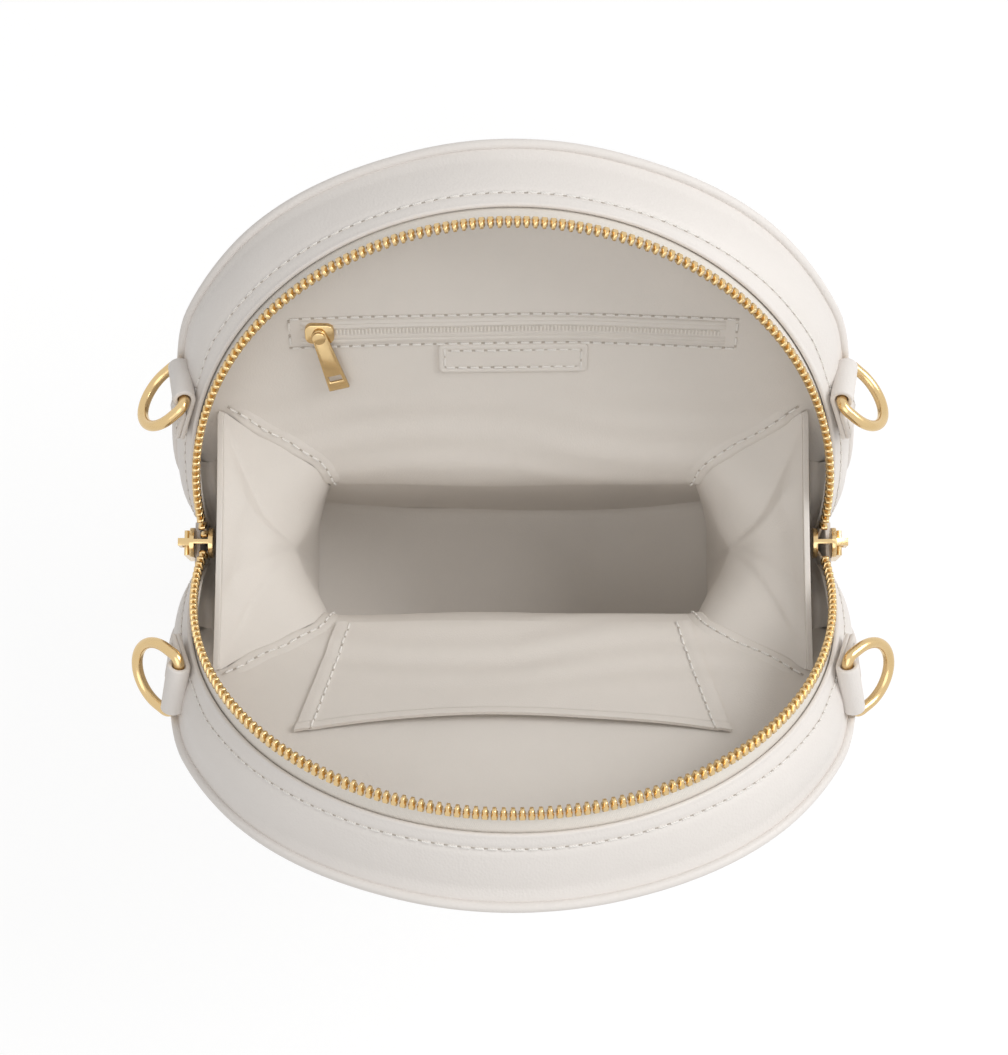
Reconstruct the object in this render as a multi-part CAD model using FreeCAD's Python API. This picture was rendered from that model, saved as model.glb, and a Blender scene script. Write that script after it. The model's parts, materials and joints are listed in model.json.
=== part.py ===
import FreeCAD, Part
import math
import os
from FreeCAD import Vector

# A round drum bag that opens like a clamshell, resting open on its flattened underside.
# Millimetres and degrees. X runs across the bag, Y runs from front to back, Z is up.
# Each upper half is drawn closed, on the drum's own circle, and then turned open about its fold.

# Drum
DISC_RADIUS = 109.0
HALF_DEPTH = 28.5
BASE_FLATTEN = 8.0
CORNER_RADIUS = 45.0
FOLD_DROP = 3.1
OPEN_ANGLE = 45.0

# Leather, lining and seams
LEATHER = 1.6
LINING = 0.8
PADDING = 1.2
LINING_DEPTH = 4.0
PADDING_DEPTH = 1.8
SEAM_GAP = 0.1
FOLD_GAP = 0.25
PIPING_RADIUS = 1.5
PIPING_INSET = 0.9
FOOT_FLAT = 0.3
BAND_TAPER = 5.4
BAND_EDGE = 5.2
LINING_EDGE = 13.0
FLOOR_LIFT = 2.2
BOARD = 1.7
BOARD_MARGIN = 1.5
OVERRUN = 40.0

# Main zip
ZIP_SINK = 2.95
TOOTH_PITCH = 2.54
TOOTH_WIDTH = 1.15
TOOTH_THICKNESS = 2.4
TOOTH_REACH = 0.8
TOOTH_HEAD = 1.8
TOOTH_LEGS = 1.6
TAPE = 0.7
TAPE_CLEARANCE = 0.1
TAPE_EDGE = 12.0
ZIP_END_DROP = 3.4

# Zip sliders and their pulls
SLIDER_LENGTH = 12.0
SLIDER_WIDTH = 9.6
SLIDER_PLATE = 1.4
CHANNEL_BELOW = 1.75
CHANNEL_ABOVE = 2.85
POST_LENGTH = 4.0
POST_WIDTH = 1.4
BRIDGE_LENGTH = 7.6
BRIDGE_WIDTH = 2.4
BRIDGE_WALL = 1.2
BRIDGE_ROOM = 2.6
PULL_WIDTH = 8.0
PULL_LENGTH = 26.0
PULL_THICKNESS = 1.6
PULL_RIM = 1.6
PULL_EYE = 5.2
PULL_SLOT = 3.2

# Strap tabs and rings
TAB_ANGLE = 20.0
TAB_OFFSET = 1.1
TAB_WIDTH = 17.5
TAB_LEATHER = 1.5
TAB_TAIL = 15.0
RING_WIRE = 3.4
RING_WIDTH = 22.5
RING_LEG = 3.0
RING_CORNER = 3.0
RING_CLEARANCE = 0.35
RING_HANG = 59.0

# Pockets and patch on the linings
POCKET_MARGIN = 17.9
POCKET_HEIGHT = 11.0
POCKET_RISE = 54.0
POCKET_HEM = 5.0
WINDOW_HEIGHT = 6.0
POCKET_TAPE = 0.35
COIL_HEIGHT = 2.4
COIL_RECESS = 0.1
POUCH_MARGIN = 4.5
POUCH_DROP = 45.0
POUCH = 0.4
POCKET_SLIDER_LENGTH = 9.0
POCKET_SLIDER_WIDTH = 6.6
POCKET_SLIDER_DEPTH = 2.6
POCKET_SLIDER_GAP = 0.3
POCKET_SLIDER_MARGIN = 5.5
STUD_RADIUS = 1.1
STUD_CAP_RADIUS = 2.1
STUD_CAP = 0.8
STUD_CLEARANCE = 0.3
POCKET_PULL_LENGTH = 20.0
POCKET_PULL_WIDTH = 6.8
POCKET_PULL_NECK = 4.6
POCKET_PULL = 1.2
POCKET_PULL_SLOT = 4.2
POCKET_PULL_TILT = 15.0
PATCH_LENGTH = 47.0
PATCH_HEIGHT = 10.5
PATCH_RISE = 44.3
PATCH = 1.0
SLIP_MOUTH = 135.0
SLIP_FOOT = 119.0
SLIP_RISE = 46.0
SLIP_FOOT_RISE = 2.0

# Side gussets
GUSSET = 1.0
GUSSET_TOP_INSET = 16.0
GUSSET_TOP_RISE = 18.0
GUSSET_FOOT_INSET = 35.0
GUSSET_CLEARANCE = 0.4

FULL_TURN = 360.0
QUARTER_TURN = 90.0
SIDE_TURN = 110.0
ORIGIN = Vector(0, 0, 0)
ALONG_X = Vector(1, 0, 0)
ALONG_Y = Vector(0, 1, 0)
ALONG_Z = Vector(0, 0, 1)

# Places that follow from the sizes
FLOOR_Z = 2 * PIPING_RADIUS + SEAM_GAP - FOOT_FLAT
BASE_DROP = DISC_RADIUS - BASE_FLATTEN
CENTRE_Z = FLOOR_Z + BASE_DROP
CENTRE = Vector(0, 0, CENTRE_Z)
FOLD_Y = HALF_DEPTH - PIPING_INSET + PIPING_RADIUS
FOLD_Z = CENTRE_Z - FOLD_DROP
FOLD_SLOPE = math.tan(math.radians(OPEN_ANGLE / 2))
TOOTH_RADIUS = DISC_RADIUS - BAND_TAPER - ZIP_SINK
SLIDER_RISE = FOLD_Y * FOLD_SLOPE - FOLD_DROP
SLIDER_ANGLE = math.degrees(math.asin(SLIDER_RISE / TOOTH_RADIUS))
BAND_OUTER_Y = HALF_DEPTH - LEATHER - SEAM_GAP
TAB_CENTRE = (BAND_OUTER_Y + BAND_EDGE) / 2 - TAB_OFFSET
LINING_Y = HALF_DEPTH - LINING_DEPTH
LINING_FACE = LINING_Y - LINING
PANEL_Y = HALF_DEPTH - LEATHER
PADDING_Y = HALF_DEPTH - PADDING_DEPTH - PADDING
PADDING_INSET = LEATHER + LINING_DEPTH
FLOOR_INSET = BAND_TAPER + LEATHER + FLOOR_LIFT
GUSSET_TOP_X = DISC_RADIUS - GUSSET_TOP_INSET
GUSSET_FOOT_X = DISC_RADIUS - GUSSET_FOOT_INSET
LINING_RADIUS = DISC_RADIUS - BAND_TAPER - LEATHER
POCKET_CHORD = 2 * math.sqrt(LINING_RADIUS ** 2 - (POCKET_RISE - FOLD_DROP) ** 2)
POCKET_LENGTH = POCKET_CHORD - 2 * POCKET_MARGIN
WINDOW_LENGTH = POCKET_LENGTH - 2 * POCKET_HEM
POUCH_LENGTH = POCKET_LENGTH + 2 * POUCH_MARGIN
POCKET_SLIDER_START = WINDOW_LENGTH / 2 - POCKET_SLIDER_MARGIN
CORNER_X = math.sqrt((DISC_RADIUS - CORNER_RADIUS) ** 2 - (BASE_DROP - CORNER_RADIUS) ** 2)
CORNER_TURN = math.degrees(math.atan2(CORNER_X, BASE_DROP - CORNER_RADIUS))


# Small helpers

def prism(points, direction):
    """A flat polygon of 3-D points, pushed along a vector."""
    return Part.Face(Part.makePolygon(points + points[:1])).extrude(direction)


def box(x, y, z):
    """A box from its (low, high) pairs."""
    size = [high - low for low, high in (x, y, z)]
    return Part.makeBox(*size, Vector(x[0], y[0], z[0]))


def around(middle, length):
    """The (low, high) pair of a length about its middle."""
    return (middle - length / 2, middle + length / 2)


def turned(shape, base, axis, angle):
    moved = shape.copy()
    moved.rotate(base, axis, angle)
    return moved


def mirrored(shape, normal):
    return shape.mirror(ORIGIN, normal)


def opened(shape):
    """Turns a closed back piece out about the back fold."""
    return turned(shape, Vector(0, FOLD_Y, FOLD_Z), ALONG_X, -OPEN_ANGLE)


def fold_plane_z(y, gap):
    return FOLD_Z + (y - FOLD_Y) * FOLD_SLOPE + gap


def upper_space():
    """The back half's room above the fold plane."""
    reach = DISC_RADIUS + OVERRUN
    far_y = HALF_DEPTH + OVERRUN
    outline = [
        (0, fold_plane_z(0, FOLD_GAP)),
        (far_y, fold_plane_z(far_y, FOLD_GAP)),
        (far_y, CENTRE_Z + reach),
        (0, CENTRE_Z + reach),
    ]
    return prism([Vector(-reach, y, z) for y, z in outline], ALONG_X * (2 * reach))


def lower_space():
    """The room below both fold planes."""
    reach = DISC_RADIUS + OVERRUN
    far_y = HALF_DEPTH + OVERRUN
    half = [(0, fold_plane_z(0, -FOLD_GAP)), (far_y, fold_plane_z(far_y, -FOLD_GAP)), (far_y, -OVERRUN)]
    outline = half + [(-y, z) for y, z in reversed(half[1:])]
    return prism([Vector(-reach, y, z) for y, z in outline], ALONG_X * (2 * reach))


def section(points):
    """A cross-section of (inset from the drum's edge, y) points, standing at x = 0."""
    corners = [Vector(0, y, inset) for inset, y in points]
    return Part.Face(Part.makePolygon(corners + corners[:1]))


def round_section(inset, y, radius):
    edge = Part.makeCircle(radius, Vector(0, y, inset), ALONG_X)
    return Part.Face(Part.Wire([edge]))


def at(face, x, z):
    moved = face.copy()
    moved.translate(Vector(x, 0, z))
    return moved


def upper_ring(face):
    """A section carried round the drum's circle and kept above the back fold."""
    ring = at(face, 0, CENTRE_Z - DISC_RADIUS).revolve(CENTRE, ALONG_Y, FULL_TURN)
    return ring.common(upper_space())


def lower_sweep(face):
    """A section carried along the flattened lower outline and kept below the folds."""
    corner = Vector(CORNER_X, 0, FLOOR_Z + CORNER_RADIUS)
    flat = at(face, -CORNER_X, FLOOR_Z).extrude(ALONG_X * (2 * CORNER_X))
    bend = at(face, CORNER_X, FLOOR_Z).revolve(corner, ALONG_Y, -CORNER_TURN)
    start = turned(at(face, 0, CENTRE_Z - DISC_RADIUS), CENTRE, ALONG_Y, -CORNER_TURN)
    side = start.revolve(CENTRE, ALONG_Y, CORNER_TURN - SIDE_TURN)
    pieces = [bend, side, mirrored(bend, ALONG_X), mirrored(side, ALONG_X)]
    return flat.fuse(pieces).removeSplitter().common(lower_space())


def drum_point(angle, inset, y):
    """A point on the drum's circle, by its angle from straight down towards +X."""
    turn = math.radians(angle)
    radius = DISC_RADIUS - inset
    return Vector(radius * math.sin(turn), y, CENTRE_Z - radius * math.cos(turn))


def corner_point(share, inset, y):
    """A point on the right corner's arc, from the flat at 0 to the drum's circle at 1."""
    turn = math.radians(CORNER_TURN * share)
    radius = CORNER_RADIUS - inset
    across = CORNER_X + radius * math.sin(turn)
    return Vector(across, y, FLOOR_Z + CORNER_RADIUS - radius * math.cos(turn))


def lower_plate(inset, y, thickness):
    """A flat plate with the lower outline, set in from it, kept below the folds."""
    half_share = 0.5

    def flip(point):
        return Vector(-point.x, point.y, point.z)

    bend = [corner_point(share, inset, y) for share in (0, half_share, 1)]
    middle_turn = (CORNER_TURN + SIDE_TURN) / 2
    side = [drum_point(angle, inset, y) for angle in (CORNER_TURN, middle_turn, SIDE_TURN)]
    arcs = [bend, side, [flip(p) for p in side], [flip(p) for p in bend]]
    edges = [Part.Arc(*arc).toShape() for arc in arcs]
    edges.append(Part.makeLine(flip(bend[0]), bend[0]))
    edges.append(Part.makeLine(side[2], flip(side[2])))
    wire = Part.Wire(Part.__sortEdges__(edges))
    return Part.Face(wire).extrude(ALONG_Y * thickness).common(lower_space())


def upper_disc(inset, y, thickness):
    disc = Part.makeCylinder(DISC_RADIUS - inset, thickness, Vector(0, y, CENTRE_Z), ALONG_Y)
    return disc.common(upper_space())


# Shell

def band_inset(y):
    """How far the band's outer face lies inside the drum's edge at a depth."""
    share = (BAND_OUTER_Y - abs(y)) / (BAND_OUTER_Y - BAND_EDGE)
    return BAND_TAPER * min(share, 1)


def strip_section(outer_gap, thickness, from_y, to_y):
    """A strip that follows the band's slope, a gap inside its outer face."""
    near, far = band_inset(from_y) + outer_gap, band_inset(to_y) + outer_gap
    return section([(near, from_y), (far, to_y), (far + thickness, to_y), (near + thickness, from_y)])


def piping_section():
    return round_section(-PIPING_RADIUS - SEAM_GAP, HALF_DEPTH - PIPING_INSET, PIPING_RADIUS)


def back_band():
    return upper_ring(strip_section(0, LEATHER, BAND_OUTER_Y, BAND_EDGE))


def bottom_band():
    outer = [(0, BAND_OUTER_Y), (BAND_TAPER, BAND_EDGE)]
    outer += [(inset, -y) for inset, y in reversed(outer)]
    inner = [(inset + LEATHER, y) for inset, y in reversed(outer)]
    return lower_sweep(section(outer + inner))


def back_lining():
    """Disc lining and the strip up the inside of the band, sewn as one."""
    skin = LEATHER + SEAM_GAP
    rim, edge = band_inset(LINING_Y) + skin, band_inset(LINING_EDGE) + skin
    points = [
        (DISC_RADIUS, LINING_Y),
        (rim, LINING_Y),
        (edge, LINING_EDGE),
        (edge + LINING, LINING_EDGE),
        (rim + LINING, LINING_FACE),
        (DISC_RADIUS, LINING_FACE),
    ]
    lining = upper_ring(section(points))
    window = box(
        around(0, WINDOW_LENGTH),
        around(LINING_Y, OVERRUN),
        around(FOLD_Z + POCKET_RISE, WINDOW_HEIGHT),
    )
    return lining, lining.cut(window)


def floor_lining():
    half = LINING_FACE - SEAM_GAP
    inner = FLOOR_INSET + LINING
    return lower_sweep(section([(FLOOR_INSET, half), (FLOOR_INSET, -half), (inner, -half), (inner, half)]))


def base_board():
    """The stiff board between the band's ridge and the floor lining."""
    low = FLOOR_Z + BAND_TAPER + LEATHER + SEAM_GAP
    spread = LINING_FACE - BOARD_MARGIN
    return box((-CORNER_X, CORNER_X), (-spread, spread), (low, low + BOARD))


def lower_piping():
    """The welt round the lower outline, pressed flat where the bag stands on it."""
    reach = DISC_RADIUS + OVERRUN
    ground = box((-reach, reach), (0, HALF_DEPTH + OVERRUN), (-OVERRUN, 0))
    return lower_sweep(piping_section()).cut(ground)


def gusset():
    """The right side's gusset, spread between the halves and standing on the floor lining."""
    foot_radius = DISC_RADIUS - FLOOR_INSET - LINING - GUSSET_CLEARANCE
    foot_z = CENTRE_Z - math.sqrt(foot_radius ** 2 - (GUSSET_FOOT_X + GUSSET) ** 2)
    top_z = FOLD_Z + GUSSET_TOP_RISE
    turn = math.radians(OPEN_ANGLE)
    set_in = FOLD_Y - LINING_FACE

    def open_lining_y(z):
        """Where an open half's lining face stands at a height."""
        rise = (z - FOLD_Z - set_in * math.sin(turn)) / math.cos(turn)
        return FOLD_Y + rise * math.sin(turn) - set_in * math.cos(turn)

    wall_y = LINING_FACE - GUSSET_CLEARANCE
    bend_z = FOLD_Z + set_in * math.tan(turn / 2)
    top_y = open_lining_y(top_z) - GUSSET_CLEARANCE / math.cos(turn)
    lean = (GUSSET_TOP_X - GUSSET_FOOT_X) / (top_z - foot_z)
    half = [(wall_y, foot_z), (wall_y, bend_z), (top_y, top_z)]
    outline = half + [(-y, z) for y, z in reversed(half)]
    points = [Vector(GUSSET_FOOT_X + (z - foot_z) * lean, y, z) for y, z in outline]
    return prism(points, ALONG_X * GUSSET)


# Main zip

def tooth():
    """One tooth at the drum's top: a head that meets the other row, and legs that clasp the tape."""
    low = TOOTH_RADIUS - TOOTH_THICKNESS / 2
    high = TOOTH_RADIUS + TOOTH_THICKNESS / 2
    slot_low = TOOTH_RADIUS - TAPE / 2 - TAPE_CLEARANCE
    slot_high = TOOTH_RADIUS + TAPE / 2 + TAPE_CLEARANCE
    head = TOOTH_HEAD - TOOTH_REACH
    end = head + TOOTH_LEGS
    outline = [
        (low, -TOOTH_REACH),
        (low, end),
        (slot_low, end),
        (slot_low, head),
        (slot_high, head),
        (slot_high, end),
        (high, end),
        (high, -TOOTH_REACH),
    ]
    points = [Vector(-TOOTH_WIDTH / 2, y, CENTRE_Z + radius) for radius, y in outline]
    return prism(points, ALONG_X * TOOTH_WIDTH)


def zip_start_angle():
    """The lowest angle of the tooth rows, above the drum's level diameter."""
    return -math.degrees(math.asin(ZIP_END_DROP / TOOTH_RADIUS))


def tooth_row(offset_share):
    """A row of teeth over the mouth; two rows differ by half a pitch."""
    step = math.degrees(TOOTH_PITCH / TOOTH_RADIUS)
    start = zip_start_angle() + step * offset_share
    count = int((FULL_TURN / 2 - 2 * start) / step)
    master = tooth()
    angles = [QUARTER_TURN - start - step * k for k in range(count)]
    return Part.makeCompound([turned(master, CENTRE, ALONG_Y, -angle) for angle in angles])


def zip_tape():
    """The tape, gripped by the teeth at its edge and sewn under the band."""
    head = TOOTH_HEAD - TOOTH_REACH + TAPE_CLEARANCE
    grip = head + TOOTH_LEGS
    inner = DISC_RADIUS - TOOTH_RADIUS - TAPE / 2
    rise = band_inset(BAND_EDGE) - band_inset(TAPE_EDGE)
    outline = [(inner, head), (inner, grip), (inner - rise, TAPE_EDGE)]
    outline += [(inset + TAPE, y) for inset, y in reversed(outline)]
    ring = at(section(outline), 0, CENTRE_Z - DISC_RADIUS).revolve(CENTRE, ALONG_Y, FULL_TURN)
    reach = DISC_RADIUS + OVERRUN
    above = box((-reach, reach), (-reach, reach), (CENTRE_Z - ZIP_END_DROP, CENTRE_Z + reach))
    return ring.common(above)


def rounded_bar(length, width, low, high):
    """A flat bar along X with half-round ends, between two radii at the drum's top."""
    straight = length - width
    bar = box(around(0, straight), around(0, width), (CENTRE_Z + low, CENTRE_Z + high))
    end = Part.makeCylinder(width / 2, high - low, Vector(straight / 2, 0, CENTRE_Z + low))
    return bar.fuse([end, mirrored(end, ALONG_X)]).removeSplitter()


def zip_slider():
    """Two plates on a post, with a bridge over the outer one, drawn at the drum's top."""
    below = TOOTH_RADIUS - CHANNEL_BELOW
    above = TOOTH_RADIUS + CHANNEL_ABOVE
    top = above + SLIDER_PLATE
    inner = rounded_bar(SLIDER_LENGTH, SLIDER_WIDTH, below - SLIDER_PLATE, below)
    outer = rounded_bar(SLIDER_LENGTH, SLIDER_WIDTH, above, top)
    post_end = SLIDER_LENGTH / 2
    post = box(
        (post_end - POST_LENGTH, post_end),
        around(0, POST_WIDTH),
        (CENTRE_Z + below, CENTRE_Z + above),
    )
    arch = box(
        around(0, BRIDGE_LENGTH),
        around(0, BRIDGE_WIDTH),
        (CENTRE_Z + top, CENTRE_Z + top + BRIDGE_ROOM + BRIDGE_WALL),
    )
    room = box(
        around(0, BRIDGE_LENGTH - 2 * BRIDGE_WALL),
        around(0, BRIDGE_WIDTH + OVERRUN),
        (CENTRE_Z + top, CENTRE_Z + top + BRIDGE_ROOM),
    )
    return inner.fuse([outer, post, arch.cut(room)]).removeSplitter()


def zip_pull():
    """A flat pull whose round bar lies under the bridge, lying back along the zip."""
    pivot = CENTRE_Z + TOOTH_RADIUS + CHANNEL_ABOVE + SLIDER_PLATE + BRIDGE_ROOM / 2
    bar_radius = PULL_THICKNESS / 2
    low, high = pivot - bar_radius, pivot + bar_radius
    straight_end = bar_radius - PULL_LENGTH + PULL_WIDTH / 2
    plate = box((straight_end, 0), around(0, PULL_WIDTH), (low, high))
    rounding = Part.makeCylinder(PULL_WIDTH / 2, PULL_THICKNESS, Vector(straight_end, 0, low))
    inner_width = PULL_WIDTH - 2 * PULL_RIM
    through = around(pivot, OVERRUN)
    eye = box((-bar_radius - PULL_EYE, 0), around(0, inner_width), through)
    slot = box(around(straight_end, PULL_SLOT), around(0, inner_width), through)
    bar = Part.makeCylinder(bar_radius, PULL_WIDTH, Vector(0, -PULL_WIDTH / 2, pivot), ALONG_Y)
    return plate.fuse(rounding).cut(eye).cut(slot).fuse(bar).removeSplitter()


def at_left_zip_end(shape):
    """Carries a piece from the drum's top to the left end of the zip."""
    return turned(shape, CENTRE, ALONG_Y, SLIDER_ANGLE - QUARTER_TURN)


# Strap tabs and rings

def tab_place(shape):
    """Seats a piece drawn on the drum's top onto the band's slope at the right tab."""
    slope = math.degrees(math.atan2(BAND_TAPER, BAND_OUTER_Y - BAND_EDGE))
    radius = DISC_RADIUS - band_inset(TAB_CENTRE)
    seat = Vector(0, TAB_CENTRE, CENTRE_Z + radius)
    leaned = turned(shape, ORIGIN, ALONG_X, slope)
    leaned.translate(seat)
    return turned(leaned, CENTRE, ALONG_Y, QUARTER_TURN - TAB_ANGLE)


def tab_lift():
    """How far the flat tail stands off the round band at its root."""
    sagitta = TAB_TAIL ** 2 / (2 * DISC_RADIUS)
    return SEAM_GAP + sagitta / 4


def strap_tab():
    """A strip folded round the ring's bar, its doubled tail sewn down the band; drawn flat at the origin."""
    bar_room = RING_WIRE / 2 + RING_CLEARANCE
    outer = bar_room + TAB_LEATHER
    lift = tab_lift()
    doubled = 2 * TAB_LEATHER
    tail = box((0, TAB_TAIL), around(0, TAB_WIDTH), (lift, lift + doubled))
    centre = Vector(0, -TAB_WIDTH / 2, lift + outer)
    loop = Part.makeCylinder(outer, TAB_WIDTH, centre, ALONG_Y)
    bore = Part.makeCylinder(bar_room, TAB_WIDTH, centre, ALONG_Y)
    return tail.fuse(loop).removeSplitter().cut(bore)


def ring_bar_lift():
    return tab_lift() + RING_WIRE / 2 + RING_CLEARANCE + TAB_LEATHER


def strap_ring():
    """A D-shaped ring: a straight bar in the tab's loop, two short legs and a round bow."""
    half = RING_WIDTH / 2
    radius = RING_WIRE / 2
    straight = half - RING_CORNER
    legs_end = RING_CORNER + RING_LEG
    bar = Part.makeCylinder(radius, 2 * straight, Vector(0, -straight, 0), ALONG_Y)
    corner_centre = Vector(-RING_CORNER, straight, 0)
    bar_end = Part.Face(Part.Wire([Part.makeCircle(radius, Vector(0, straight, 0), ALONG_Y)]))
    corner = bar_end.revolve(corner_centre, ALONG_Z, QUARTER_TURN)
    leg = Part.makeCylinder(radius, RING_LEG, Vector(-legs_end, half, 0), ALONG_X)
    leg_end = Part.Face(Part.Wire([Part.makeCircle(radius, Vector(-legs_end, half, 0), ALONG_X)]))
    bow = leg_end.revolve(Vector(-legs_end, 0, 0), ALONG_Z, FULL_TURN / 2)
    sides = [corner, leg, mirrored(corner, ALONG_Y), mirrored(leg, ALONG_Y)]
    ring = bar.fuse(sides + [bow]).removeSplitter()
    hung = turned(ring, ORIGIN, ALONG_Y, QUARTER_TURN + RING_HANG)
    hung.translate(Vector(0, 0, ring_bar_lift()))
    return hung


# Pockets and patch

def on_lining(rise, length, height, near, depth):
    """A plate parallel to the disc: its height above the fold, size, and depth towards the disc."""
    return box(around(0, length), (near, near + depth), around(FOLD_Z + rise, height))


def pocket_pouch():
    top = FOLD_Z + POCKET_RISE + POCKET_HEIGHT / 2
    near = LINING_Y + POCKET_TAPE + 2 * SEAM_GAP
    return box(around(0, POUCH_LENGTH), (near, near + POUCH), (top - POCKET_HEIGHT - POUCH_DROP, top))


def pocket_slider():
    front = LINING_FACE - POCKET_SLIDER_GAP
    height = FOLD_Z + POCKET_RISE
    body = box(
        around(-POCKET_SLIDER_START, POCKET_SLIDER_LENGTH),
        (front - POCKET_SLIDER_DEPTH, front),
        around(height, POCKET_SLIDER_WIDTH),
    )
    extents = [(edge, edge.BoundBox) for edge in body.Edges]
    upright = [edge for edge, size in extents if size.YLength > size.XLength + size.ZLength]
    body = body.makeFillet(POCKET_SLIDER_WIDTH / 3, upright)
    face = front - POCKET_SLIDER_DEPTH
    stud_length = POCKET_PULL + 2 * STUD_CLEARANCE
    stud = Part.makeCylinder(STUD_RADIUS, stud_length, Vector(-POCKET_SLIDER_START, face, height), -ALONG_Y)
    cap_at = Vector(-POCKET_SLIDER_START, face - stud_length, height)
    cap = Part.makeCylinder(STUD_CAP_RADIUS, STUD_CAP, cap_at, -ALONG_Y)
    return body.fuse([stud, cap]).removeSplitter()


def pocket_pull():
    """A tapered pull that hangs from the pocket slider's stud."""
    face = LINING_FACE - POCKET_SLIDER_GAP - POCKET_SLIDER_DEPTH - STUD_CLEARANCE
    height = FOLD_Z + POCKET_RISE
    foot = height - POCKET_PULL_LENGTH
    outline = [
        (-POCKET_PULL_NECK / 2, height),
        (-POCKET_PULL_WIDTH / 2, foot),
        (POCKET_PULL_WIDTH / 2, foot),
        (POCKET_PULL_NECK / 2, height),
    ]
    points = [Vector(x - POCKET_SLIDER_START, face, z) for x, z in outline]
    plate = prism(points, -ALONG_Y * POCKET_PULL)
    centre = Vector(-POCKET_SLIDER_START, face, height)
    head = Part.makeCylinder(POCKET_PULL_NECK / 2, POCKET_PULL, centre, -ALONG_Y)
    eye = Part.makeCylinder(STUD_RADIUS + STUD_CLEARANCE, POCKET_PULL, centre, -ALONG_Y)
    slot = box(
        around(-POCKET_SLIDER_START, POCKET_PULL_SLOT),
        around(face, OVERRUN),
        around(foot + POCKET_PULL_SLOT, POCKET_PULL_SLOT / 2),
    )
    pull = plate.fuse(head).removeSplitter().cut(eye).cut(slot)
    return turned(pull, centre, ALONG_Y, -POCKET_PULL_TILT)


def slip_pocket():
    """A patch pocket on the front lining, open towards the mouth."""
    near = LINING_FACE - SEAM_GAP
    foot, mouth = FOLD_Z + SLIP_FOOT_RISE, FOLD_Z + SLIP_RISE
    right = [(SLIP_FOOT / 2, foot), (SLIP_MOUTH / 2, mouth)]
    outline = right + [(-x, z) for x, z in reversed(right)]
    return prism([Vector(x, near, z) for x, z in outline], -ALONG_Y * LINING)


# Assembly

def half_pieces():
    """Pieces that both upper halves have, drawn on the closed back half."""
    plain_lining, windowed_lining = back_lining()
    tab = tab_place(strap_tab())
    shared = {
        "panel": upper_disc(0, PANEL_Y, LEATHER),
        "band": back_band(),
        "piping": upper_ring(piping_section()),
        "padding": upper_disc(PADDING_INSET, PADDING_Y, PADDING),
        "zip_tape": zip_tape(),
        "right_tab": tab,
        "left_tab": mirrored(tab, ALONG_X),
    }
    return shared, plain_lining, windowed_lining


def build():
    nodes = {}
    shared, plain_lining, windowed_lining = half_pieces()
    half_pitch_share = 0.5
    back = dict(shared, lining=windowed_lining, zip_teeth=tooth_row(0))
    front = dict(shared, lining=plain_lining, zip_teeth=tooth_row(half_pitch_share))
    names = {"panel": "upper_{}_panel"}
    for side, pieces in (("back", back), ("front", front)):
        for key, shape in pieces.items():
            piece = opened(shape)
            name = names.get(key, "{}_" + key).format(side)
            nodes[name] = piece if side == "back" else mirrored(piece, ALONG_Y)

    ring = opened(tab_place(strap_ring()))
    for side, shape in (("back", ring), ("front", mirrored(ring, ALONG_Y))):
        nodes[side + "_right_ring"] = shape
        nodes[side + "_left_ring"] = mirrored(shape, ALONG_X)

    coil_near = LINING_FACE + COIL_RECESS
    coil_depth = LINING_Y - coil_near
    nodes["pocket_zip_coil"] = opened(
        on_lining(POCKET_RISE, WINDOW_LENGTH - 2 * SEAM_GAP, COIL_HEIGHT, coil_near, coil_depth)
    )
    nodes["pocket_zip_tape"] = opened(
        on_lining(POCKET_RISE, POCKET_LENGTH, POCKET_HEIGHT, LINING_Y + SEAM_GAP, POCKET_TAPE)
    )
    nodes["pocket_pouch"] = opened(pocket_pouch())
    nodes["label_patch"] = opened(
        on_lining(PATCH_RISE, PATCH_LENGTH, PATCH_HEIGHT, LINING_FACE - SEAM_GAP - PATCH, PATCH)
    )
    nodes["pocket_slider"] = opened(pocket_slider())
    nodes["pocket_pull"] = opened(pocket_pull())
    nodes["slip_pocket"] = mirrored(opened(slip_pocket()), ALONG_Y)

    for part, shape in (("zip_slider", zip_slider()), ("zip_pull", zip_pull())):
        left = at_left_zip_end(shape)
        nodes["left_" + part] = left
        nodes["right_" + part] = mirrored(left, ALONG_X)

    lower = {
        "panel": lower_plate(0, PANEL_Y, LEATHER),
        "padding": lower_plate(PADDING_INSET, PADDING_Y, PADDING),
        "lining": lower_plate(FLOOR_INSET, LINING_FACE, LINING),
        "piping": lower_piping(),
    }
    for key, shape in lower.items():
        nodes["lower_back_" + key] = shape
        nodes["lower_front_" + key] = mirrored(shape, ALONG_Y)
    nodes["bottom_band"] = bottom_band()
    nodes["floor_lining"] = floor_lining()
    nodes["base_board"] = base_board()
    right_gusset = gusset()
    nodes["right_gusset"] = right_gusset
    nodes["left_gusset"] = mirrored(right_gusset, ALONG_X)
    return nodes


def main():
    os.makedirs("parts", exist_ok=True)
    for name, shape in build().items():
        shape.exportStep("parts/" + name + ".step")
        print(name, len(shape.Solids), round(shape.Volume, 2), shape.isValid())
    fold = "fold y {:.3f} z {:.3f}, drum centre z {:.3f}, slider angle {:.3f}"
    print(fold.format(FOLD_Y, FOLD_Z, CENTRE_Z, SLIDER_ANGLE))


main()
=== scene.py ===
import json
import math

import bmesh
import bpy
import numpy as np
from bpy.props import FloatProperty, FloatVectorProperty, PointerProperty
from bpy.types import Operator, Panel, PropertyGroup
from mathutils import Matrix, Vector


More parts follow.
